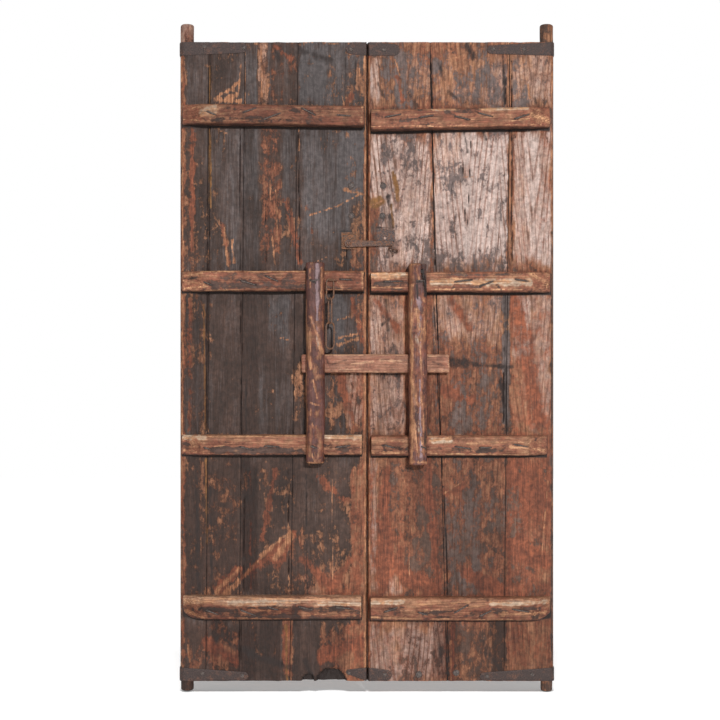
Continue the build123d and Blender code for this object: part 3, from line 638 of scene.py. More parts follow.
REDS = {
    "left": [
        (192, 130, 192, 250, 3.), (340, 376, 356, 430, 5.), (318, 660, 360, 640, 8.),
        (219, 588, 240, 568, 7.), (240, 580, 292, 535, 6.), (274, 560, 288, 545, 8.),
        (262, 540, 276, 470, 4.), (204, 640, 236, 662, 7.), (250, 470, 251, 590, 1.5),
        (331, 590, 350, 560, 5.), (308, 206, 312, 232, 3.), (190, 300, 189, 430, 3.),
        (222, 224, 230, 268, 4.), (285, 200, 300, 262, 5.), (352, 300, 362, 340, 4.),
        (276, 46, 292, 60, 4.), (320, 480, 345, 500, 6.), (306, 560, 330, 590, 6.),
        (341, 110, 352, 96, 3.),
    ],
    "right": [
        (369, 57, 369, 670, 1.6), (450, 492, 462, 486, 7.), (512, 476, 545, 500, 8.),
        (508, 545, 545, 560, 9.), (428, 462, 438, 590, 5.), (386, 470, 384, 590, 6.),
        (515, 300, 540, 420, 10.), (378, 560, 430, 588, 8.), (470, 575, 500, 592, 7.),
        (452, 300, 470, 330, 5.), (396, 76, 402, 100, 3.), (453, 620, 452, 680, 2.),
        (447, 392, 470, 400, 6.), (376, 300, 398, 330, 4.),
    ],
}
STAINS_AND_SHADOW = {
    "left": [
        (340, 231, 356, 231, 1.), (340.5, 231, 340.5, 250, 1.2), (341, 250.5, 357, 250.5, 1.2),
        (345.5, 58, 345.8, 84, 1.3), (355.5, 62, 355.2, 84, 1.3), (347, 88, 354, 88, 1.4),
        (300, 50, 330, 60, 5.), (196, 470, 198, 590, 3.), (210, 474, 212, 592, 2.),
        (240, 126, 240, 270, .6), (215, 640, 290, 668, 5.), (306, 474, 307, 594, 1.2),
        # (303.5, 300) to (303.5, 434) is painted shadow down the left side of the left keeper.
        (303.5, 300, 303.5, 434, 1.2), (266, 192, 266, 240, .6), (275, 50, 280, 60, 3.),
        (262, 99, 268, 104, 2.4), (300, 130, 300, 268, .6), (212, 132, 216, 146, 1.2),
        (304, 660, 312, 681, 4.), (246, 380, 246, 430, 2.), (340, 440, 350, 452, 3.),
    ],
    "right": [
        (450, 363, 472, 363, 5.5), (474, 365, 512, 367, 2.6), (485, 652, 488, 667, 2.6),
        (383, 184, 384, 190, 3.), (384, 219, 393, 228, 2.2), (376, 227, 395, 228, 1.2),
        (388, 196, 392, 240, 3.), (376, 243.5, 390, 244, 1.2), (372, 172, 370, 194, .9),
        # (551.5, 230) to (551.5, 660) darkens the same strip down the right leaf's outer edge.
        (505.5, 292, 505.5, 430, 1.8), (433.5, 296, 436, 345, 1.), (551.5, 230, 551.5, 660, 1.),
        (386, 300, 388, 330, 2.4), (382, 325, 390, 318, 2.6), (500, 380, 508, 430, 3.),
        (480, 120, 486, 140, 2.), (464, 132, 468, 152, 2.), (453, 182, 450, 200, 1.),
        (439, 644, 441, 662, 4.), (482, 640, 500, 672, 4.), (378, 84, 384, 96, 3.4),
        (410, 94, 416, 106, 3.), (438, 62, 444, 80, 3.6), (449, 92, 459, 100, 3.),
        (503, 54, 505, 106, 1.6), (468, 46, 474, 56, 5.), (372, 372, 400, 376, 3.),
    ],
}
OCHRES = {
    "left": [
        (209.5, 66, 210.5, 208, 1.9), (204, 305, 205.5, 430, 1.4), (206, 458, 207, 545, 1.4),
        (286, 625, 287, 681, 1.6),
    ],
    "right": [
        (393, 172, 399, 200, 3.2), (371, 203, 384, 201, 6.), (391, 205, 393, 228, 2.),
    ],
}
# Splits along the grain
CRACKS = [
    (430.5, 62, 431.5, 108, 1.), (432, 130, 435, 268, .8), (436, 296, 438, 340, .8),
    (282, 640, 282, 681, .5), (240.5, 296, 241, 432, .4), (241, 620, 241, 680, .5),
    (209, 44, 206, 432, .4), (437, 370, 447, 560, .8), (447, 560, 448, 681, .9),
    (431.5, 54, 432.5, 108, .8), (265, 190, 266, 262, .4), (288, 470, 289, 592, .5),
    (346, 235, 347, 262, .5), (503.5, 372, 503.5, 430, .5), (240, 126, 240, 270, .4),
    (419, 300, 420, 350, .4), (245, 470, 243, 592, .5), (505.5, 57, 505.5, 104, .5),
    (298, 130, 300, 262, .5), (511.5, 60, 512, 262, .6), (462, 140, 466, 240, .3),
    (471, 140, 467, 240, .3), (306, 476, 306, 520, .3),
]


def laid_over(x, z, rows, torn_z=0.045):
    """The amounts of a list of ragged areas at each point, each laid over the last."""
    flat = 0 * x
    torn_x = 0.006 * ragged(x, flat, z, (0.03, 1, 0.06), 811)
    torn_z = torn_z * (0.7 * ragged(x, flat, z, (0.06, 1, 0.10), 823)
                       + 0.5 * ragged(x, flat, z, (0.012, 1, 0.05), 829))
    levels = np.zeros((len(rows[0]) - 4, len(x)))
    at_x, at_z = x + torn_x, z + torn_z
    for left, right, top, bottom, *values in rows:
        x_low, z_high = seen(left, top)
        x_high, z_low = seen(right, bottom)
        inside = smooth(np.minimum(at_x - x_low, x_high - at_x), -0.005, 0.007)
        inside *= smooth(np.minimum(at_z - z_low, z_high - at_z), -0.04, 0.04)
        levels += inside * (np.array(values)[:, None] - levels)
    return levels


def lower_edge(node, x):
    """Z of a batten's lower edge at each X; the bottom ones are cut away at their tips."""
    points = corners_of(node)
    low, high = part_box(node)
    inner, outer = (high[0], low[0]) if node.startswith("left") else (low[0], high[0])
    knots = [inner, outer + (0.05 if outer < inner else -0.05), outer]
    ends = [points[np.abs(points[:, 0] - end) < END_REACH, 2].min() for end in (inner, outer)]
    middle = ends[0] if "bottom" in node else ends[0] + 0.9 * (ends[1] - ends[0])
    levels = [ends[0], middle, ends[1]]
    order = np.argsort(knots)
    return np.interp(x, np.array(knots)[order], np.array(levels)[order])


def leaf_wear(x, z, front, side):
    """Every wear amount over a leaf's boards."""
    flat = 0 * x
    coat, red, bleach, cool = laid_over(x, z, AREAS[side])
    grime = laid_over(x, z, GRIME[side])[0]
    streak = ragged(x, flat, z, (0.014, 1, 0.30), 11)
    cloud = ragged(x, flat, z, (0.09, 1, 0.16), 31)
    reds = strongest(x, z, REDS[side], 100)
    chips = strongest(x, z, CHIPS_AND_LIT_EDGE[side], 300)
    stains_and_shadow = strongest(x, z, STAINS_AND_SHADOW[side], 500)
    splits = strongest(x, z, CRACKS, 1300)
    # Painted shadow: a dark band on the boards just under each batten's lower edge, added to the
    # dirt amount with the real dirt and stains.
    batten_shadow = np.zeros_like(z)
    over = np.zeros_like(z)
    for level in LEVELS:
        low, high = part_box(f"{side}_{level}_batten")
        crossed = (x > low[0] - 0.002) & (x < high[0] + 0.002)
        edge = lower_edge(f"{side}_{level}_batten", x)
        shaded = smooth(z, edge - 0.012, edge - 0.003) * (z < high[2] - 0.004)
        batten_shadow = np.maximum(batten_shadow, shaded * crossed)
        over = np.maximum(over, smooth(-z, -high[2] - 0.012, -high[2]) * (z > low[2]) * crossed)
    # The dirt amount holds real dirt, stains and splits, and also the painted shadow under the
    # battens.
    wear = dict(
        coat=coat + 0.12 * streak + 0.12 * cloud - 0.38 * reds,
        red=red + 0.14 * streak + 0.45 * reds + 0.2 * over,
        chip=0.06 + 0.06 * streak + 0.59 * chips + 0.24 * over,
        dirt=0.06 + 0.08 * cloud + 0.62 * stains_and_shadow + 1.0 * batten_shadow + 0.9 * splits,
        bleach=bleach + 0.1 * cloud, cool=cool + 0.15 * streak,
        ochre=0.85 * strongest(x, z, OCHRES[side], 1700), grime=grime + 0.06 * cloud)
    back = dict(
        coat=0.12 + 0.2 * streak, red=0.25 + 0.3 * streak, chip=flat + 0.10,
        dirt=0.08 + 0.1 * cloud, bleach=0.45 + 0.2 * cloud, cool=flat + 0.3,
        ochre=flat, grime=flat + 0.12)
    return {name: np.where(front > 0, wear[name], back[name]) for name in wear}


def rotted(x, z):
    """How deep the hollow rotted out of the left leaf's foot is, from 0 to 1."""
    flat = 0 * x
    torn = 0.10 * ragged(x, flat, z, (0.02, 1, 0.02), 77)
    deep = np.zeros_like(x)
    for middle, reach, rise in ((331, 15.5, 14.0), (308, 6.0, 7.0)):
        x_middle = seen(middle, 681)[0]
        gap = np.hypot((x - x_middle) / pixels(reach), (z - LEAF_LOW) / pixels(rise))
        deep = np.maximum(deep, smooth(1.05 - gap + torn, 0, 0.22))
    return deep


MEETING_LEAN = {"left": 0.0065, "right": 0.0095}


def lean(y, side):
    """How far the planed meeting edge of a leaf leans to the left at a depth, so that
    the right leaf laps behind the left one."""
    return MEETING_LEAN[side] * np.clip((y - FACE) / (BACK - FACE), 0, 1)


def board(node, side):
    """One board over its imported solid, with raised grain, splits and rubbed edges."""
    left, right = joints_of(node)
    meeting = 0 if not node.endswith("inner_board") else (1 if side == "left" else -1)
    rounds = [BOARD_ROUND, BOARD_ROUND]
    if node.endswith("stile"):
        rounds[0 if side == "left" else 1] = EDGE_ROUND
    if meeting:
        rounds[1 if meeting > 0 else 0] = 0.0060 if meeting > 0 else 0.003
    section = board_section(right[0] - left[0], rounds)
    levels = spread(LEAF_LOW, LEAF_TOP, ROW)
    share, offset, y = section.T
    rise = ((levels - LEAF_LOW) / (LEAF_TOP - LEAF_LOW))[:, None]
    x_left = left[0] + (left[1] - left[0]) * rise
    x_right = right[0] + (right[1] - right[0]) * rise
    x = x_left * (1 - share) + x_right * share + offset
    z = np.repeat(levels[:, None], len(y), 1)
    y = np.repeat(y[None, :], len(levels), 0)
    front = (y < FACE + 0.006).astype(float)
    rear = (y > BACK - 0.004).astype(float)
    flat = 0 * x
    grain = 0.5 * ragged(x, flat, z, (0.007, 1, 0.22), 41)
    grain += 0.5 * lumps(x, flat, z, (0.05, 1, 0.7), 43)
    splits = strongest(x.ravel(), z.ravel(), CRACKS, 1300).reshape(x.shape)
    edge_gap = np.minimum(x - x_left, x_right - x)
    gnawed = smooth(lumps(x, flat, z, (0.5, 1, 0.03), 47), 0.35, 0.9)
    eaten = smooth(-edge_gap, -0.005, 0) * gnawed
    depth = GRAIN_DEPTH * grain + SPLIT_DEPTH * splits + GNAWED_DEPTH * eaten
    y = y + front * np.maximum(depth, -0.0003) - rear * 0.0006 * np.abs(grain)
    if meeting:
        free = (z > LEAF_LOW + 0.012) & (z < LEAF_TOP - 0.006)
        edge_side = share > 0.5 if meeting > 0 else share < 0.5
        near_edge = edge_side & (np.abs(offset) < 0.02) & ((share == 1) | (share == 0))
        x = x - np.where(free & near_edge[None, :], lean(y, side), 0)
        waver = 0.0010 * ragged(flat, flat, z, (1, 1, 0.12), 131 + meeting)
        x = x - meeting * np.where(near_edge[None, :] & (y < FACE + 0.01), np.abs(waver), 0)
        ends = smooth(np.abs(rise - 0.5), 0.4955, 0.5)
        x = x - meeting * np.where(near_edge[None, :], 0.006 * ends, 0)
    if node == "left_inner_board":
        pocket = rotted(x, z)
        y = y + front * pocket * (POCKET_DEPTH + 0.003 * ragged(x, flat, z, (0.01, 1, 0.02), 5))
    if node == "right_inner_board":
        x_chip, z_chip = seen(368.2, 200)
        bite = smooth(1 - np.hypot((x - x_chip) / pixels(1.7), (z - z_chip) / pixels(5.5)), 0, 0.5)
        x = x + front * bite * 0.004
    at_end = smooth(np.abs(rise - 0.5), 0.4985, 0.5)
    waver = 0.0016 * np.abs(ragged(x, flat, flat, (0.08, 1, 1), 53)) + 0.0004 * (edge_gap < 0.004)
    z = z + np.where(rise > 0.5, -1, 1) * at_end * waver
    points = np.stack([x, y, z], -1).reshape(-1, 3)
    made = new_object(f"{node}_wood", points, ring_faces(section.shape[0], len(levels)))
    wear = leaf_wear(x.ravel(), z.ravel(), front.ravel(), side)
    joint_gap = edge_gap
    if meeting:
        joint_gap = x - x_left if meeting > 0 else x_right - x
    wear["dirt"] = wear["dirt"] + 0.8 * (joint_gap < 0.001).ravel()
    # The rotted hollow is painted fully dark, to its depth.
    if node == "left_inner_board":
        wear["dirt"] = wear["dirt"] + 1.2 * (rotted(x, z) * front).ravel()
    paint_wear(made, **wear)
    return made


def turned(name, x, y, profile, around=40):
    """A round piece about an upright axis; profile is (radius, Z) from foot to top."""
    angles = np.linspace(0, 2 * math.pi, around, endpoint=False)
    points = []
    for radius, z in profile:
        for angle in angles:
            reach = radius * (1 + 0.015 * math.sin(3 * angle + 60 * z))
            points.append((x + reach * math.cos(angle), y + reach * math.sin(angle), z))
    return new_object(name, points, ring_faces(around, len(profile)))


def pintles(node):
    """The two rounds of a stile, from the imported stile's own reach."""
    low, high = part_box(node)
    points = corners_of(node)
    top = points[points[:, 2] > LEAF_TOP + 0.02]
    x, radius = midway(top[:, 0])
    y = midway(top[:, 1])[0]
    foot = points[(points[:, 2] < LEAF_LOW - 0.01) & (points[:, 2] > low[2] + 0.002)]
    foot_radius = midway(foot[:, 0])[1]
    shoulder = foot[:, 2].min()
    tip = points[points[:, 2] < low[2] + TOUCH]
    tip_radius = midway(tip[:, 0])[1]
    ease = 0.007
    upper = [(radius, z) for z in spread(LEAF_TOP - 0.004, high[2] - ease, 0.006)]
    for angle in (25, 50, 75, 90):
        swing = math.radians(angle)
        upper.append((radius - ease * (1 - math.cos(swing)),
                      high[2] - ease * (1 - math.sin(swing))))
    upper.append((0.004, high[2]))
    lower = [(tip_radius * 0.6, low[2]), (tip_radius, low[2] + 0.001),
             ((tip_radius + foot_radius) / 2, (low[2] + shoulder) / 2),
             (foot_radius * 0.98, shoulder), (foot_radius, shoulder + 0.004),
             (foot_radius, LEAF_LOW + 0.004)]
    made = []
    for name, profile in (("top", upper), ("foot", lower)):
        piece = turned(f"{node}_{name}", x, y, profile)
        spots = np.array([vertex.co for vertex in piece.data.vertices])
        cloud = ragged(*spots.T, (0.02, 0.02, 0.05), 61)
        worn = 0.35 if name == "top" and x < 0 else 0.0
        darkened = 0.75 if name == "foot" and x < 0 else 0.25
        paint_wear(piece, coat=0.62 - worn + 0.3 * cloud, red=0.5 + 0.3 * cloud,
                   chip=0.15 + 0.2 * cloud, dirt=0.2 + 0.2 * cloud, bleach=worn * 1.5,
                   grime=darkened)
        made.append(piece)
    return made


BARE = (tint(84, 52, 38), tint(148, 99, 71), tint(192, 141, 106))
BLEACHED = (tint(132, 92, 72), tint(192, 160, 148), tint(218, 195, 185))
RED_COAT = (tint(96, 55, 41), tint(154, 88, 61))
CHIPPED = (tint(144, 92, 63), tint(190, 136, 100))
LEAVES = [
    ("left", "dark_planks", dict(coat=(tint(57, 41, 34), tint(83, 62, 53)), cool=tint(90, 82, 81)),
     ("pivot_stile", "outer_board", "middle_board", "inner_board")),
    ("right", "brown_planks", dict(coat=(tint(74, 54, 44), tint(102, 77, 65)),
                                   cool=tint(110, 95, 91)),
     ("inner_board", "outer_board", "pivot_stile")),
]
for side, slot, colours, boards in LEAVES:
    finish = wood(slot, "Z", BARE, BLEACHED, RED_COAT, chip=CHIPPED, ring_gap=0.0155,
                  heart=FIRST_HEART, **colours)
    for node in (f"{side}_{name}" for name in boards):
        piece = board(node, side)
        if node.endswith("stile"):
            piece = joined(piece.name, [piece] + pintles(node))
        deliver(piece, f"{side}_leaf", node, finish=finish)

# Battens: hewn timbers laid across each leaf, square at the meeting edge and cut away
# to a thin tip at the outer one. Old red-brown coat, worn bare along their edges.
SIDE_STEPS, CORNER_STEPS = 8, 6


def hewn_ring(half, near, far, rounding, step):
    """A ring of (across, Y, normal across, normal Y): up one side from the rear at near,
    over the rounded front at far, down the other side and back."""
    left = [(-half, y, -1, 0) for y in np.linspace(near, far + rounding, SIDE_STEPS)[:-1]]
    for angle in np.linspace(0, 90, CORNER_STEPS):
        cosine, sine = math.cos(math.radians(angle)), math.sin(math.radians(angle))
        left.append((-half + rounding * (1 - cosine), far + rounding * (1 - sine), -cosine, -sine))
    front = [(across, far, 0, -1)
             for across in np.linspace(-half + rounding, half - rounding, step)[1:-1]]
    right = [(-across, y, -push_across, push_y) for across, y, push_across, push_y in left[::-1]]
    rear = [(across, near, 0, 1) for across in np.linspace(half, -half, 5)[1:-1]]
    return np.array(left + front + right + rear)


def eased(gap, rounding):
    """How far a rounded end draws a surface in, at this distance from the end."""
    share = 1 - min(1, gap / rounding)
    return rounding * (1 - math.sqrt(1 - share ** 2))


def outward(made):
    """Turn the faces of a closed mesh so that they look outward."""
    mesh = bmesh.new()
    mesh.from_mesh(made.data)
    bmesh.ops.recalc_face_normals(mesh, faces=mesh.faces)
    mesh.to_mesh(made.data)
    mesh.free()


def hewn(name, along, places, rings, seed, rough=0.0013, inward=False):
    """A hewn timber: rings at places along X or Z, pushed out and in by its tool marks
    and its grain, or in only. Gives the object, its points and their normals."""
    count = len(rings[0])
    ring = np.concatenate(rings)
    at = np.repeat(places, count)
    across, y, push_across, push_y = ring.T
    x, z = (at, across) if along == "X" else (across, at)
    long_size = (0.10, 0.03, 0.03) if along == "X" else (0.03, 0.03, 0.10)
    fine_size = (0.07, 0.007, 0.007) if along == "X" else (0.007, 0.007, 0.07)
    swell = rough * ragged(x, y, z, long_size, seed, 3)
    swell += 0.45 * rough * ragged(x, y, z, fine_size, seed + 9, 3)
    if inward:
        swell = np.abs(swell)
    across = across + push_across * swell
    y = y + push_y * swell
    x, z = (at, across) if along == "X" else (across, at)
    points = np.stack([x, y, z], -1)
    made = new_object(name, points, ring_faces(count, len(places)))
    outward(made)
    return made, points, push_across, push_y


BATTEN_MARKS = {
    "chip": [
        (203, 116, 218, 112, 6.), (184, 112, 200, 108, 1.2), (184, 120, 200, 122, 1.2),
        (220, 116, 246, 113, .9), (362, 108, 362, 124, 2.), (184, 105, 360, 107, .9),
        (268, 113, 280, 110, 1.), (225, 123, 262, 121, .8), (336, 112, 352, 110, .8),
        (184, 276, 204, 274, 1.6), (184, 281, 206, 285, 1.1), (184, 289, 208, 287, 1.4),
        (204, 272, 306, 272, .9), (362, 273, 362, 291, 2.), (338, 283, 343, 288, 1.8),
        (206, 291, 240, 290.5, .8), (285, 291, 304, 291, .9), (327, 290, 360, 291, .7),
        (184, 438, 205, 436, 2.4), (184, 450, 210, 452, 2.), (205, 436, 306, 435, 1.),
        (326, 436, 362, 437, 2.), (361, 438, 361, 453, 1.6), (215, 446, 240, 441, 1.),
        (184, 600, 215, 599, 2.6), (186, 610, 206, 616, 2.6), (215, 597, 362, 597, 1.4),
        (225, 603, 300, 600, 2.2), (300, 612, 355, 613, 2.), (230, 616, 290, 617, 1.4),
        (250, 608, 290, 610, 1.8), (318, 601, 360, 603, 1.8), (361, 599, 361, 614, 1.6),
        (371, 111, 394, 111, 1.6), (433, 111, 453, 111, 2.2), (482, 112, 526, 110, 2.8),
        (508, 123, 527, 121, 1.6), (530, 116, 549, 122, 5.), (372, 128, 440, 128, 1.),
        (440, 128, 540, 126, .9), (400, 118, 440, 115, 1.), (460, 120, 480, 122, 1.),
        (372, 278, 404, 276, 4.), (432, 282, 470, 281, 3.4), (470, 283, 528, 282, 3.6),
        (530, 275, 547, 284, 5.), (372, 288, 404, 288, 1.2), (428, 290, 520, 290, 1.),
        (372, 440, 404, 440, 2.), (372, 452, 404, 452, 1.6), (430, 440, 450, 438, 2.4),
        (466, 443, 530, 441, 1.6), (510, 446, 543, 450, 3.4), (430, 453, 520, 454, 1.4),
        (372, 600, 402, 600, 2.6), (372, 615, 420, 617, 2.), (405, 603, 470, 600, 1.8),
        (420, 609, 480, 604, 1.6), (490, 600, 548, 601, 2.2), (500, 612, 546, 611, 3.),
        (430, 617, 520, 618, 1.2),
    ],
    "coat": [
        (262, 122, 322, 122, 4.2), (206, 122, 262, 121, 3.), (225, 110, 236, 111, 2.),
        (290, 112, 320, 114, 2.4), (186, 279, 198, 278, 1.8), (215, 286, 304, 287, 4.6),
        (222, 279, 262, 282, 2.4), (186, 444, 200, 445, 2.4), (214, 449, 304, 450, 3.6),
        (326, 445, 348, 447, 4.4), (220, 441, 244, 443, 1.6), (200, 607, 236, 608, 3.),
        (240, 605, 300, 606, 2.2), (304, 607, 352, 606, 2.6), (236, 615, 300, 614, 1.8),
        (376, 117, 382, 119, 2.), (393, 122, 418, 121, 2.), (446, 114, 454, 118, 2.2),
        (490, 126, 504, 126, 1.2), (464, 121, 476, 123, 1.8), (376, 284, 400, 285, 2.),
        (494, 283, 500, 291, 1.4), (436, 276, 520, 275, 1.4), (406, 446, 440, 448, 3.),
        (452, 449, 500, 450, 3.2), (380, 445, 400, 447, 2.4), (384, 607, 412, 609, 3.6),
        (424, 611, 452, 608, 2.6), (470, 612, 500, 608, 3.2), (520, 606, 538, 607, 2.),
    ],
    "bleach": [
        (372, 277, 404, 275, 3.), (432, 283, 528, 283, 4.), (204, 114, 214, 112, 5.),
        (326, 435, 362, 436, 3.), (432, 440, 450, 440, 3.), (230, 601, 300, 600, 2.6),
        (320, 602, 360, 602, 2.4), (372, 601, 402, 600, 2.4), (490, 602, 546, 601, 2.4),
        (184, 436, 206, 437, 3.), (432, 111, 454, 111, 2.), (484, 111, 526, 110, 2.4),
    ],
}
# Clenched nails on the battens, from the bend to the tip, in the photo's pixels
NAILS = {
    "left": [
        (207.6, 113.2, 217.2, 117), (244, 114.5, 256.7, 110), (264.4, 121.5, 281, 115.1),
        (302, 110, 315.4, 117), (336.5, 117, 351.1, 118), (205, 282.5, 213.4, 285.9),
        (241.4, 281.2, 256.7, 285.7), (266.3, 276.7, 278.4, 281.8), (340, 280, 351.8, 280.5),
        (205, 446.7, 212, 448.7), (240.8, 446, 254.2, 449.3), (265, 445.2, 279, 446),
        (335.8, 446.7, 350.5, 444.8), (207, 607.8, 219, 612.3), (241.4, 607.8, 256.7, 613.5),
        (268.2, 604.6, 278.4, 607.8), (298.8, 604.6, 312.9, 607.8), (335.8, 605.3, 349.8, 606.5),
    ],
    "right": [
        (385, 119.1, 400.5, 116.3), (418.8, 119.5, 432.8, 117.4), (453.8, 118.1, 469.3, 121.9),
        (477, 114.9, 491.7, 118.8), (513.5, 120.9, 527.5, 116.3), (383.7, 282.2, 402, 281.9),
        (453.8, 282.6, 470.7, 280.5), (479, 286.8, 491.7, 281.9), (513.5, 279.8, 526.8, 281.9),
        (383.7, 444.2, 393.5, 447), (454.5, 445.9, 469.3, 448.1), (478.4, 447, 490.3, 447),
        (512, 443.5, 526.8, 446.3), (383.7, 610, 397, 605.5), (417.4, 610, 427.2, 613),
        (453, 611, 467.2, 603), (478.4, 614.2, 490.3, 608.6), (511.4, 607.2, 527.5, 609.7),
    ],
}
BATTEN_DEPTH, BATTEN_ROUND, END_ROUND = 0.042, 0.010, 0.0035
TIP_DEPTH, TAPER = 0.012, 0.066
TIP_CUT, TIP_RISE = 0.046, 0.022
SINK, TIMBER_STEP, NAIL_DARK_WIDTH = 0.0025, 0.0042, 0.0042
# How far the upper half of each batten is worn bare and painted lighter as lit, and its lower half
# painted darker as shade, on the left and on the right leaf
LIT_WORN_TOPS = {"top": (0.0, 0.0), "upper": (0.1, 0.2), "lower": (0.4, 0.3), "bottom": (0.85, 0.45)}


def batten(side, level):
    """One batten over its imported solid."""
    node = f"{side}_{level}_batten"
    points = corners_of(node)
    way = -1 if side == "left" else 1
    low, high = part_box(node)
    inner, outer = (high[0], low[0]) if side == "left" else (low[0], high[0])
    ends = [midway(points[np.abs(points[:, 0] - x) < END_REACH, 2]) for x in (inner, outer)]
    middles, reach = [end[0] for end in ends], ends[0][1]
    if level == "bottom":
        middles[1] = middles[0]
    length = abs(outer - inner)
    steps = spread(0.0003, length - 0.0003, TIMBER_STEP)
    steps = np.sort(np.concatenate([steps, [0.0012, 0.0026, length - 0.0012, length - 0.003]]))
    places, rings = [], []
    for s in steps:
        depth = BATTEN_DEPTH
        if s > length - TAPER:
            depth += (TIP_DEPTH - BATTEN_DEPTH) * (s - length + TAPER) / TAPER
        inset = eased(min(s, length - s), END_ROUND)
        half = reach - inset
        lift = 0.0
        if level == "bottom" and s > length - TIP_CUT:
            lift = TIP_RISE * ((s - length + TIP_CUT) / TIP_CUT) ** 2
            half -= lift / 2
        depth -= inset
        rounding = min(BATTEN_ROUND, depth * 0.7)
        ring = hewn_ring(half, FACE + SINK, FACE - depth, rounding, 15)
        ring[:, 0] += middles[0] + (middles[1] - middles[0]) * s / length + lift / 2
        places.append(inner + way * s)
        rings.append(ring)
    seed = 2000 + 40 * LEVELS.index(level) + (side == "right")
    made, spots, push_z, push_y = hewn(f"{node}_wood", "X", np.array(places), rings, seed)
    x, y, z = spots.T
    cloud = ragged(x, y, z, (0.09, 0.02, 0.02), seed + 3)
    fine = ragged(x, y, z, (0.05, 0.006, 0.006), seed + 5)
    corner = 1 - np.abs(np.abs(push_z) - np.abs(push_y))
    upward = (z - np.interp((x - inner) * way, (0, length), middles)) / reach
    upward = upward + 0.25 * ragged(x, y, z, (0.05, 1, 0.03), seed + 7)
    # Painted light and shade: the upper half is made paler, partly worn bare and partly painted as
    # lit from above, and the lower half darker as painted shade.
    worn = LIT_WORN_TOPS[level][side == "right"]
    lit_bare_top = worn * smooth(upward, 0.05, 0.45)
    shaded_dark_low = worn * smooth(-upward, -0.1, 0.3)
    # Dirt and painted shade darken each batten's underside, and chips and a painted highlight
    # lighten its upper corners.
    top = smooth(push_z, 0.3, 0.9)
    bottom = smooth(-push_z, 0.3, 0.95)
    # Dirt and painted shade: a dark groove along each clenched nail, standing in for its shadow.
    nail_dirt_and_shade = np.zeros_like(x)
    for nail in NAILS[side]:
        nail_mark = stroke(x, z, seen(*nail[:2]), seen(*nail[2:]), NAIL_DARK_WIDTH, 5, 0.2)
        nail_dirt_and_shade = np.maximum(nail_dirt_and_shade, nail_mark)
    marks = {name: strongest(x, z, rows, 2500) for name, rows in BATTEN_MARKS.items()}
    paint_wear(made, coat=0.26 + 0.26 * cloud + 0.34 * marks["coat"] - 0.3 * marks["chip"]
               - 0.25 * lit_bare_top + 0.28 * shaded_dark_low,
               red=0.66 + 0.2 * fine - 0.42 * marks["bleach"] - 0.45 * lit_bare_top,
               chip=0.10 + 0.10 * cloud + 0.22 * corner * top + 0.06 * corner * bottom
               + 0.10 * fine + 0.48 * marks["chip"],
               dirt=0.06 + 0.5 * bottom + 0.85 * nail_dirt_and_shade - 0.1 * top,
               bleach=0.15 + 0.75 * marks["bleach"] + 0.3 * lit_bare_top, cool=0.15,
               grime=laid_over(x, z, GRIME["batten"], 0.004)[0] * (1 - 0.4 * lit_bare_top))
    return made


finish = wood("batten_wood", "X", (tint(104, 64, 46), tint(166, 116, 86), tint(206, 158, 122)),
              (tint(140, 104, 84), tint(196, 162, 136), tint(226, 200, 174)),
              (tint(112, 64, 50), tint(154, 96, 74)), coat=(tint(64, 46, 40), tint(94, 71, 62)),
              cool=tint(96, 84, 84), chip=(tint(176, 122, 88), tint(214, 164, 124)),
              ring_gap=0.011)
for side in ("left", "right"):
    for level in LEVELS:
        deliver(batten(side, level), f"{side}_leaf", f"{side}_{level}_batten",
                finish=finish)

# Keepers: an upright squared timber on each leaf, housed over two battens and nailed, and
# notched behind for the bar. Rounded and polished by hands; the right one is split at
# its upper corner.
KEEPER_DEPTH, KEEPER_ROUND, KEEPER_END_ROUND = 0.077, 0.019, 0.005
NOTCH_LOW, NOTCH_HIGH = 1.0027, 1.0657
SPLIT_WIDTH, SPLIT_START = 0.020, 0.051
SPLIT_INNER, SPLIT_OUTER = 0.041, 0.091
KEEPER_MARKS = {
    "chip": [
        (312, 318, 322, 352, 3.4), (318, 322, 321, 350, 2.6), (311, 402, 320, 405, 1.3),
        (311, 408, 314, 428, .9), (309, 445, 316, 461, 1.6), (308, 462, 324, 462, 1.8),
        (311, 270, 312, 300, .8), (309, 352, 312, 368, 2.2), (322, 268, 322, 300, .7),
        (310, 334, 312, 352, 1.4), (306.8, 300, 306.8, 440, .7), (320, 436, 321, 455, 1.2),
        (314, 380, 318, 398, 1.2), (411, 286, 411, 460, 2.4), (416, 310, 419, 330, 3.),
        (410, 266, 418, 266, 1.4), (423, 300, 424, 340, 1.6), (419, 345, 421, 380, 1.2),
        (412, 380, 416, 404, 2.4), (420, 392, 423, 428, 1.4), (412, 418, 417, 452, 2.4),
        (420, 436, 425, 450, 1.6), (411, 460, 426, 461, 1.4), (416, 270, 418, 281, 1.2),
        (418, 340, 425, 322, 1.4),
    ],
    "dirt": [
        (409, 284, 421, 283, 1.), (422, 272, 425, 296, 2.4), (311, 444, 318, 447, 1.2),
        (307, 270, 308, 280, 1.2), (416, 286, 417, 300, 1.), (423, 405, 425, 460, 1.2),
        (311, 281, 316, 284, 1.2),
    ],
    # Painted highlights: pale cool streaks down the rounded fronts of the keepers, where the light
    # glances off them.
    "sheen": [
        (417.5, 300, 419, 352, 2.3), (318, 266, 318, 342, 2.), (419, 380, 420, 455, 1.2),
    ],
    "bleach": [
        (417, 308, 420, 330, 3.), (314, 322, 321, 350, 2.), (411, 300, 411, 360, 1.6),
        (415, 336, 420, 350, 2.), (412, 384, 418, 430, 2.),
    ],
}


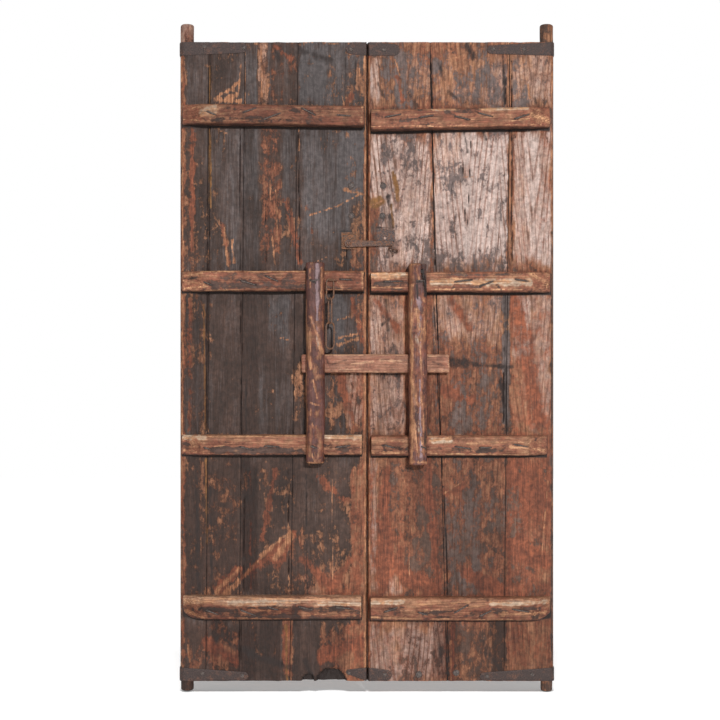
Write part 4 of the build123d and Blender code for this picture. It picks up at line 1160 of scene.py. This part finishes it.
def keeper(side):
    """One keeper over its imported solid, its rear stepped over the battens and the bar."""
    node = f"{side}_keeper"
    low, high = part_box(node)
    middle, half = midway((low[0], high[0]))
    steps_at, housings = [NOTCH_LOW, NOTCH_HIGH], []
    for level in ("upper", "lower"):
        batten_low, batten_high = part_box(f"{side}_{level}_batten")
        housings.append((batten_low[2] + 0.001, batten_high[2] - 0.001))
        steps_at += housings[-1]
    levels = list(spread(low[2], high[2], TIMBER_STEP)[1:-1])
    levels += [low[2], low[2] + 0.0015, high[2] - 0.0015, high[2]]
    for place in steps_at:
        levels = [z for z in levels if abs(z - place) > 0.0008]
        levels += [place - 0.0003, place + 0.0003]
    rings = []
    levels = np.array(sorted(levels))
    for z in levels:
        near, still = FACE + SINK, NOTCH_LOW < z < NOTCH_HIGH
        if still:
            near = FACE - BATTEN_DEPTH
        if any(housed_low < z < housed_high for housed_low, housed_high in housings):
            near = FACE - BATTEN_DEPTH + SINK
        inset = eased(min(z - low[2], high[2] - z), KEEPER_END_ROUND)
        waver = 0.0016 * math.sin(9 * z + middle * 40) + 0.0010 * math.sin(31 * z)
        ring = hewn_ring(half - 0.0015 - inset, near, FACE - KEEPER_DEPTH + inset,
                         KEEPER_ROUND, 17)
        ring[:, 0] += middle + waver * 0.5
        if still:
            ring[ring[:, 1] > near - 0.001, 3] = 0
        rings.append(ring)
    seed = 3000 if side == "left" else 3100
    made, spots, push_x, push_y = hewn(f"{node}_wood", "Z", levels, rings, seed, 0.0016)
    x, y, z = spots.T
    dirt = 0.10 + 0.8 * strongest(x, z, KEEPER_MARKS["dirt"], 3300) * (push_y < 0)
    if side == "right":
        torn = 0.003 * ragged(x, y, z, (0.02, 1, 0.02), 91)
        slope = (SPLIT_OUTER - SPLIT_INNER) / SPLIT_WIDTH
        inner = high[0] - SPLIT_WIDTH + torn
        lost = (x > inner) & (z > high[2] - SPLIT_INNER - slope * (x - inner) + 2 * torn)
        raw = lost & (y < FACE - SPLIT_START)
        made_y = np.where(raw, FACE - SPLIT_START + 0.8 * torn, y)
        points = np.stack([x, made_y, z], -1)
        made.data.vertices.foreach_set("co", points.ravel())
        dirt = dirt + 0.45 * raw
    cloud = ragged(x, y, z, (0.04, 0.04, 0.16), seed + 3)
    fine = ragged(x, y, z, (0.008, 0.008, 0.10), seed + 5)
    chips = strongest(x, z, KEEPER_MARKS["chip"], 3400) * (push_y < 0.1)
    bleach = strongest(x, z, KEEPER_MARKS["bleach"], 3500)
    sheen = strongest(x, z, KEEPER_MARKS["sheen"], 3600) * (push_y < 0.1)
    round_edge = (np.abs(push_x) > 0.25) & (push_y < -0.25)
    centre, reach = midway((low[2], high[2]))
    ends = smooth(np.abs(z - centre), reach - 0.006, reach)
    shift = 0.0 if side == "left" else 0.14
    # The sheen strokes are painted highlight: they add the cool tint and the coat and take off
    # grime.
    paint_wear(made, coat=0.62 - shift + 0.26 * cloud + 0.2 * fine - 0.3 * chips + 0.3 * sheen,
               red=0.72 + 0.2 * fine, dirt=dirt - 0.04, bleach=0.2 + 0.7 * bleach,
               chip=0.08 + 0.10 * cloud + 0.10 * fine + 0.08 * round_edge + 0.5 * chips
               + 0.2 * ends, cool=0.1 + 0.8 * shift + 0.8 * sheen, grime=0.18 - 0.3 * sheen)
    return made


finish = wood("keeper_wood", "Z", (tint(112, 68, 46), tint(168, 118, 84), tint(206, 160, 122)),
              (tint(150, 112, 90), tint(204, 176, 152), tint(226, 206, 186)),
              (tint(112, 62, 48), tint(146, 88, 68)), coat=(tint(78, 48, 43), tint(112, 74, 68)),
              cool=tint(150, 124, 126), chip=(tint(164, 108, 76), tint(206, 154, 116)),
              ring_gap=0.010, sheen=0.46)
for side in ("left", "right"):
    deliver(keeper(side), f"{side}_leaf", f"{side}_keeper", finish=finish)

# Bar: a squared timber that slides behind both keepers, a little clear of the boards.
# Its coat is rubbed away by use.
BAR_STANDOFF, BAR_ROUND, BAR_STEP = 0.006, 0.0055, 0.004
BAR_MARKS = {
    "chip": [
        (326, 355, 404, 355, 1.), (326, 371, 404, 372, .9), (352, 364, 372, 362, 1.8),
        (380, 360, 402, 361, 1.6), (428, 356, 448, 356, 1.2), (428, 371, 448, 371, 1.4),
        (448, 358, 449, 372, .8), (340, 369, 362, 369, 1.),
    ],
    "dirt": [
        (328, 366, 346, 360, 1.4), (336, 368, 350, 364, .9), (404, 360, 408, 360, 6.),
        (432, 362, 444, 366, 1.6), (326, 358, 332, 371, 1.2), (366, 356, 368, 373, .7),
    ],
}
low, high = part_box("lock_bar")
middle, half = midway((low[2], high[2]))
places, rings = [], []
steps = np.concatenate([spread(low[0], high[0], BAR_STEP), [low[0] + 0.001, high[0] - 0.001]])
for x in np.sort(steps):
    inset = 0.003 * (1 - min(1, min(x - low[0], high[0] - x) / BAR_STEP)) ** 2
    ring = hewn_ring(half - 0.0004 - inset, FACE - BAR_STANDOFF - inset, low[1] + inset,
                     BAR_ROUND, 19)
    ring[:, 0] += middle
    ring[:, 2:] = -ring[:, 2:]
    rings.append(ring)
    places.append(x)
bar, spots, push_z, push_y = hewn("lock_bar_wood", "X", np.array(places), rings, 3900, 0.0007, True)
x, y, z = spots.T
cloud = ragged(x, y, z, (0.07, 0.03, 0.02), 3903)
fine = ragged(x, y, z, (0.06, 0.006, 0.006), 3905)
marks = {name: strongest(x, z, rows, 3910) for name, rows in BAR_MARKS.items()}
paint_wear(bar, coat=0.10 + 0.18 * cloud, red=0.44 + 0.25 * fine + 0.15 * cloud,
           chip=0.16 + 0.15 * fine + 0.22 * (push_z < -0.5) + 0.5 * marks["chip"],
           dirt=0.08 + 0.10 * cloud + 0.42 * marks["dirt"], bleach=0.35, cool=0.1,
           grime=0.12)
finish = wood("bar_wood", "X", (tint(112, 70, 54), tint(164, 112, 88), tint(196, 144, 116)),
              (tint(134, 94, 76), tint(178, 132, 110), tint(204, 166, 144)),
              (tint(124, 74, 58), tint(154, 98, 78)), coat=(tint(86, 60, 52), tint(108, 78, 70)),
              cool=tint(122, 98, 98), chip=(tint(180, 128, 98), tint(212, 166, 134)),
              ring_gap=0.013, sheen=0.55)
deliver(bar, "lock_bar", "lock_bar", finish=finish)

# Straps: thin hammered iron folded over each corner of a leaf, narrowing to a round tip,
# rusted to brown and black.
STRAP, STRAP_STEP, INNER_BEND = 0.0025, 0.004, 0.004
BAND_POINTS = 11
PIT, SPECK = 0.0035, 0.0012


def iron(name, dark, light, rust, rusty, size=0.02):
    """Old wrought iron: a dark skin with brown rust, pitted and rubbed in places."""
    made, tree = blank_material(name)
    place = put(tree, "ShaderNodeTexCoord").outputs["Object"]
    cloud = noise(tree, place, size, 4.0, 0.6)
    pits = noise(tree, place, PIT, 5.0, 0.7)
    fleck = noise(tree, place, SPECK, 3.0, 0.7)
    colour = blend(tree, between(tree, pits, 0.35, 0.68), dark, light)
    mixed = times(tree, pits, 0.7, times(tree, cloud, 0.9, times(tree, fleck, 0.4)))
    rust_mask = between(tree, mixed, 1.12 - 0.5 * rusty, 1.36 - 0.5 * rusty, kind="SMOOTHSTEP")
    rust_tone = blend(tree, between(tree, fleck, 0.35, 0.65), *rust)
    colour = blend(tree, rust_mask, colour, rust_tone)
    relief = times(tree, pits, 1.0, times(tree, fleck, 0.4))
    dull = between(tree, pits, 0.3, 0.7, 0.72, 0.50)
    skin(tree, colour, dull, relief, 0.9, 0.0011, Metallic=0.25)
    return made


def strap(node, reach, tip_radius, drop):
    """One strap, as a band that follows the wood round the leaf's edge. reach is its
    length on each face, and drop the distance of its tip's centre from the leaf's end."""
    low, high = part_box(node)
    outer = node.endswith("outer_strap")
    left = node.startswith("left")
    way = 1 if left == outer else -1
    x_edge = low[0] if way > 0 else high[0]
    top = "_top_" in node
    z_edge, up = (high[2], -1) if top else (low[2], 1)
    height = high[2] - low[2]
    bend = EDGE_ROUND + STRAP if outer else INNER_BEND
    start = STRAP if outer else 0.0
    route = [(x, FACE - STRAP, 0, -1) for x in spread(reach, bend - start, STRAP_STEP)]

    def fold(y, inward):
        """The quarter turn round one edge of the leaf, from its face at y."""
        turn = []
        for angle in np.linspace(0, 90, 9)[1:]:
            cosine, sine = math.cos(math.radians(angle)), math.sin(math.radians(angle))
            turn.append((bend - start - bend * sine, y + inward * bend * (1 - cosine),
                         -sine, -inward * cosine))
        return turn

    route += fold(FACE - STRAP, 1)
    for y in spread(FACE - STRAP + bend, BACK + STRAP - bend, 0.005)[1:]:
        route.append((-start, y, -1, 0))
    route += fold(BACK + STRAP, -1)[::-1][1:] + [(bend - start, BACK + STRAP, 0, 1)]
    route += [(x, BACK + STRAP, 0, 1) for x in spread(bend - start, reach, STRAP_STEP)[1:]]
    neck = reach - tip_radius
    inner = STRAP + 0.0003
    points = []
    for run, y, push_x, push_y in route:
        share = min(max(run, 0) / neck, 1)
        centre = height / 2 + (drop - height / 2) * share
        half = height / 2 + (tip_radius - height / 2) * share
        if run > neck:
            half = tip_radius * math.sqrt(max(1 - ((run - neck) / tip_radius) ** 2, 0.01))
        tall = np.linspace(-half, half, BAND_POINTS)
        for offset in tall:
            out = -0.0006 if abs(offset) > half - 1e-6 else 0.0
            points.append((run + push_x * out, y + push_y * out, centre + offset))
        for offset in tall[::-1]:
            points.append((run - push_x * inner, y - push_y * inner, centre + offset))
    run, y, rise = np.array(points).T
    x = x_edge + way * start + way * run
    z = z_edge + up * rise
    seed = 4000 + sum(map(ord, node))
    face_y = np.where(y < (FACE + BACK) / 2, -1, 1)
    outside = np.tile(np.repeat([1, 0], BAND_POINTS), len(route))
    y = y + outside * face_y * 0.00035 * ragged(x, y, z, (0.012, 1, 0.012), seed)
    z = z + up * 0.0009 * np.abs(ragged(x, y, 0 * z, (0.012, 1, 1), seed + 1)) * (rise < height / 2)
    if not outer:
        x = x - lean(y, "left" if left else "right")
    made = new_object(f"{node}_iron", np.stack([x, y, z], -1),
                      ring_faces(2 * BAND_POINTS, len(route)))
    outward(made)
    return made


# Each strap's reach, tip radius and drop in metres
STRAPS = {
    "left_top_outer": (.211, .0165, .018), "left_top_inner": (.066, .0155, .022),
    "left_bottom_outer": (.215, .013, .016), "left_bottom_inner": (.066, .008, .029),
    "right_top_outer": (.210, .0135, .024), "right_top_inner": (.099, .018, .025),
    "right_bottom_outer": (.233, .0125, .015), "right_bottom_inner": (.074, .0168, .019),
}
finish = iron("strap_iron", tint(34, 25, 23), tint(70, 52, 47),
              (tint(76, 49, 38), tint(104, 70, 54)), 0.22)
for name, size in STRAPS.items():
    deliver(strap(f"{name}_strap", *size), name.split("_")[0] + "_leaf",
            f"{name}_strap", finish=finish)

# Nails: forged square nails driven from the back through board and batten, their points
# bent over and hammered down in front; on the back they have faceted rose heads. Studs
# and strap nails have low round heads.
HEAD_RADIUS, HEAD_HEIGHT = 0.0098, 0.0044


def plan(name, **sizes):
    """A Geometry Nodes tree with named size inputs, and the outputs of its input node."""
    tree = bpy.data.node_groups.new(name, "GeometryNodeTree")
    tree.interface.new_socket("Geometry", in_out="INPUT", socket_type="NodeSocketGeometry")
    for size, value in sizes.items():
        kind = "NodeSocketVector" if np.ndim(value) else "NodeSocketFloat"
        socket = tree.interface.new_socket(size.replace("_", " "), in_out="INPUT", socket_type=kind)
        socket.default_value = value
    tree.interface.new_socket("Geometry", in_out="OUTPUT", socket_type="NodeSocketGeometry")
    return tree, tree.nodes.new("NodeGroupInput").outputs


def end_plan(tree, geometry, finish):
    """Close a tree: real geometry, with its material."""
    real = put(tree, "GeometryNodeRealizeInstances", {"Geometry": geometry})
    done = put(tree, "GeometryNodeSetMaterial", {"Geometry": real.outputs[0], "Material": finish})
    put(tree, "NodeGroupOutput", {"Geometry": done.outputs[0]})
    return tree


def plain_mesh(made):
    """The mesh that an object's modifiers make of it."""
    graph = bpy.context.evaluated_depsgraph_get()
    return bpy.data.meshes.new_from_object(made.evaluated_get(graph), depsgraph=graph)


def grown(name, tree, points, sizes=None, **traits):
    """The plain mesh that a tree grows from points and their traits."""
    mesh = bpy.data.meshes.new(name)
    mesh.from_pydata(points, [], [])
    for trait, values in traits.items():
        layer = mesh.attributes.new(trait, "FLOAT_VECTOR", "POINT")
        layer.data.foreach_set("vector", np.array(values, float).ravel())
    seedling = placed(name, mesh)
    modifier = seedling.modifiers.new("grow", "NODES")
    modifier.node_group = tree
    for item in tree.interface.items_tree:
        if item.in_out == "INPUT" and item.name in (sizes or {}):
            modifier[item.identifier] = sizes[item.name]
    plain = plain_mesh(seedling)
    bpy.data.objects.remove(seedling)
    return placed(name, plain)


def trait(tree, name):
    """A vector that the points carry."""
    return put(tree, "GeometryNodeInputNamedAttribute", {"Name": name},
               data_type="FLOAT_VECTOR").outputs[0]


def on_points(tree, points, piece):
    """Copies of a piece on the points, turned and stretched as they say."""
    return put(tree, "GeometryNodeInstanceOnPoints", {"Points": points,
               "Instance": piece.outputs[0], "Rotation": trait(tree, "turn"),
               "Scale": trait(tree, "stretch")}).outputs[0]


def clenched_plan(finish):
    """A nail's bent point: out of the wood, over, along it and back in at its tip."""
    tree, sizes = plan("clenched_point", Shank_Radius=0.0030, Tip_Radius=0.0013,
                       Proud=0.0019, Sunk=0.004)
    line = put(tree, "GeometryNodeCurvePrimitiveLine", {"End": (1, 0, 0)})
    fine = put(tree, "GeometryNodeResampleCurve", {"Curve": line.outputs[0], "Count": 18})
    along = put(tree, "GeometryNodeSplineParameter").outputs["Factor"]
    outward_by = reckon(tree, "MULTIPLY", sizes["Proud"], -1.0)
    rise = between(tree, along, 0.0, 0.16, sizes["Sunk"], outward_by, "SMOOTHSTEP")
    fall = between(tree, along, 0.72, 1.0, 0.0, sizes["Proud"], "SMOOTHSTEP")
    height = times(tree, fall, 1.5, rise)
    offset = put(tree, "ShaderNodeCombineXYZ", {"Y": height})
    bent = put(tree, "GeometryNodeSetPosition", {"Geometry": fine.outputs[0],
               "Offset": offset.outputs[0]})
    width = between(tree, along, 0.0, 1.0, sizes["Shank Radius"], sizes["Tip Radius"])
    profile = put(tree, "GeometryNodeCurvePrimitiveCircle", {"Resolution": 8, "Radius": 1.0})
    tube = put(tree, "GeometryNodeCurveToMesh", {"Curve": bent.outputs[0],
               "Profile Curve": profile.outputs[0], "Scale": width, "Fill Caps": True})
    return end_plan(tree, on_points(tree, sizes["Geometry"], tube), finish)


def head_plan(name, kind, finish, **shape):
    """Nail heads of one kind, a cone or a sphere of unit radius, on points."""
    tree, sizes = plan(name)
    return end_plan(tree, on_points(tree, sizes["Geometry"], put(tree, kind, shape)), finish)


nail_finish = iron("nail_iron", tint(36, 29, 28), tint(112, 100, 94),
                   (tint(76, 50, 40), tint(106, 70, 52)), 0.1, 0.008)
clenched = clenched_plan(nail_finish)
roses = head_plan("rose_head", "GeometryNodeMeshCone", nail_finish,
                  **{"Vertices": 9, "Radius Top": 0.18, "Radius Bottom": 1.0, "Depth": 1.0})
domes = head_plan("dome_head", "GeometryNodeMeshUVSphere", nail_finish,
                  **{"Segments": 16, "Rings": 9, "Radius": 1.0})


def clenched_nails(node, rows, surface):
    """All clenched nails of one node, from their bends and tips in metres, with heads."""
    starts, turns, lengths = [], [], []
    for (x, z), (x_tip, z_tip) in rows:
        starts.append((x, surface, z))
        turns.append((0, -math.atan2(z_tip - z, x_tip - x), 0))
        lengths.append((math.hypot(x_tip - x, z_tip - z), 1, 1))
    points = grown(f"{node}_points", clenched, starts, turn=turns, stretch=lengths)
    chance = np.random.default_rng(len(rows) + 5)
    backs = [(x, BACK - 0.0004, z) for x, _, z in starts]
    spins = [(-math.pi / 2, chance.uniform(0, 6), 0) for _ in starts]
    sizes = [(HEAD_RADIUS * chance.uniform(0.86, 1.0),) * 2 + (HEAD_HEIGHT,) for _ in starts]
    heads = grown(f"{node}_heads", roses, backs, turn=spins, stretch=sizes)
    return joined(f"{node}_iron", [points, heads])


KEEPER_NAILS = {
    "left": [((-.174, 1.287), (-.148, 1.292)), ((-.176, .778), (-.154, .769))],
    "right": [((.150, 1.2885), (.178, 1.2885)), ((.166, .776), (.183, .771))],
}
for side in ("left", "right"):
    rows = [(seen(*nail[:2]), seen(*nail[2:])) for nail in NAILS[side]]
    for kind, at, depth in (("batten_nails", rows, BATTEN_DEPTH),
                            ("keeper_nails", KEEPER_NAILS[side], KEEPER_DEPTH)):
        node = f"{side}_{kind}"
        deliver(clenched_nails(node, at, FACE - depth), f"{side}_leaf", node)

# Places in the photo's pixels; a stud also has its radius and height in metres
STRAP_NAILS = {
    "left": [(204.6, 46.8), (243.9, 48.1), (351, 49.6), (202.5, 673.5), (242.3, 675.5), (349, 673)],
    "right": [(384, 50), (493.2, 49.3), (524, 49.6), (385, 674.5), (487, 676), (532, 674.5)],
}
STUDS = {
    "left": [(351.3, 185.8, .0108, .0045), (351.3, 215.9, .0105, .0045)],
    "right": [(383.3, 185.9, .0105, .004), (382.5, 215.9, .0105, .004),
              (418.8, 674.5, .011, .0042), (456.2, 672.8, .0108, .0042)],
}
for side in ("left", "right"):
    spots, sizes = [], []
    for px, py in STRAP_NAILS[side]:
        x, z = seen(px, py)
        spots += [(x, FACE - STRAP, z), (x, BACK + STRAP - 0.0004, z)]
        sizes += [(0.0068, 0.0030, 0.0062), (0.0036, 0.0006, 0.0036)]
    stud_spots = [(seen(px, py)[0], FACE, seen(px, py)[1]) for px, py, _, _ in STUDS[side]]
    stud_sizes = [(radius, height, radius * 0.94) for _, _, radius, height in STUDS[side]]
    for kind, at, stretch in (("strap_nails", spots, sizes), ("studs", stud_spots, stud_sizes)):
        turns = [(0, number, 0) for number in range(len(at))]
        piece = grown(f"{side}_{kind}_iron", domes, at, turn=turns, stretch=stretch)
        deliver(piece, f"{side}_leaf", f"{side}_{kind}")

# Latch: a forged hook on a pin over a plate with turned-up edges, dropping into a
# round-nosed staple beside a broken plate. All of it is thickly rusted.
latch_finish = iron("latch_iron", tint(50, 36, 32), tint(106, 82, 71),
                    (tint(98, 60, 40), tint(138, 88, 56)), 0.34, 0.008)


def forged(node, finish, grain, rough, seed):
    """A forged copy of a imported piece: its edges eased and its faces hammered."""
    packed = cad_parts[node]
    made = placed(f"{node}_iron", packed.data.copy())
    mesh = bmesh.new()
    mesh.from_mesh(made.data)
    bmesh.ops.remove_doubles(mesh, verts=mesh.verts, dist=1e-6)
    mesh.to_mesh(made.data)
    mesh.free()
    remesh = made.modifiers.new("even", "REMESH")
    remesh.mode = "VOXEL"
    remesh.voxel_size = grain
    ease = made.modifiers.new("ease", "SMOOTH")
    ease.factor = 0.5
    ease.iterations = 2
    plain = plain_mesh(made)
    made.modifiers.clear()
    made.data = plain
    count = len(plain.vertices)
    spots, pushes = np.empty(count * 3), np.empty(count * 3)
    plain.vertices.foreach_get("co", spots)
    plain.vertices.foreach_get("normal", pushes)
    spots, pushes = spots.reshape(-1, 3), pushes.reshape(-1, 3)
    dent = -rough * np.abs(ragged(*spots.T, (0.009, 0.009, 0.009), seed, 3))
    plain.vertices.foreach_set("co", (spots + pushes * dent[:, None]).ravel())
    plain.materials.clear()
    plain.materials.append(finish)
    plain.update()
    return made


rusty_finish = iron("rusty_plate", tint(50, 38, 32), tint(98, 80, 68),
                    (tint(96, 58, 36), tint(144, 92, 54)), 0.50, 0.006)
dark_finish = iron("dark_plate", tint(36, 29, 28), tint(92, 80, 78),
                   (tint(84, 54, 42), tint(126, 84, 60)), 0.38, 0.006)
LATCH = [("hook_plate", "left_leaf", .0008, .0005, rusty_finish),
         ("eye_plate", "right_leaf", .0007, .0004, dark_finish),
         ("eye_staple", "right_leaf", .0008, .0004, latch_finish),
         ("hook_pivot", "left_leaf", .0009, .0005, latch_finish),
         ("latch_hook", "latch_hook", .0009, .0006, latch_finish)]
for number, (node, body, grain, rough, finish) in enumerate(LATCH):
    deliver(forged(node, finish, grain, rough, 5000 + number), body, node, 60)

# Chain: three closed links of round iron hanging from a staple in the upper batten, each
# through the one above.
chain_finish = iron("chain_iron", tint(76, 54, 43), tint(124, 94, 77),
                    (tint(100, 64, 44), tint(136, 94, 66)), 0.40, 0.010)
deliver(forged("chain_staple", chain_finish, .0008, .0003, 5100), "left_leaf",
        "chain_staple", 60)


def link_plan(finish):
    """A closed link: a rounded oblong of round wire, turned about its upright middle."""
    tree, sizes = plan("chain_link", Link_Width=0.03, Link_Height=0.08, Turn=0.0,
                       Wire=0.0025, Middle=(0.0, 0.0, 0.0))
    outline = put(tree, "GeometryNodeCurvePrimitiveQuadrilateral", {"Width": sizes["Link Width"],
                  "Height": sizes["Link Height"]})
    half = reckon(tree, "MULTIPLY", sizes["Link Width"], 0.4999)
    oval = put(tree, "GeometryNodeFilletCurve", {"Curve": outline.outputs[0], "Count": 9,
               "Radius": half}, mode="POLY")
    even = put(tree, "GeometryNodeResampleCurve", {"Curve": oval.outputs[0], "Count": 72})
    turn = put(tree, "ShaderNodeCombineXYZ", {"X": math.pi / 2, "Z": sizes["Turn"]})
    hung = put(tree, "GeometryNodeTransform", {"Geometry": even.outputs[0],
               "Translation": sizes["Middle"], "Rotation": turn.outputs[0]})
    place = put(tree, "GeometryNodeInputPosition").outputs[0]
    waver = put(tree, "ShaderNodeTexNoise", {"Vector": place, "Scale": 70.0}).outputs["Fac"]
    width = times(tree, between(tree, waver, 0.3, 0.7, 0.90, 1.0), sizes["Wire"])
    profile = put(tree, "GeometryNodeCurvePrimitiveCircle", {"Resolution": 12, "Radius": 1.0})
    wire = put(tree, "GeometryNodeCurveToMesh", {"Curve": hung.outputs[0],
               "Profile Curve": profile.outputs[0], "Scale": width})
    return end_plan(tree, wire.outputs[0], finish)


LINK_WIRE = 0.0029
LINKS = [("chain_link_1", .027, 35), ("chain_link_2", .017, 125), ("chain_link_3", .030, 35)]
link = link_plan(chain_finish)
for node, width, turn in LINKS:
    low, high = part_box(node)
    sizes = {"Link Width": width, "Link Height": high[2] - low[2] - 2 * LINK_WIRE,
             "Turn": math.radians(turn), "Wire": LINK_WIRE,
             "Middle": [(low[axis] + high[axis]) / 2 for axis in range(3)]}
    piece = grown(f"{node}_iron", link, [(0, 0, 0)], sizes)
    deliver(piece, node, node)
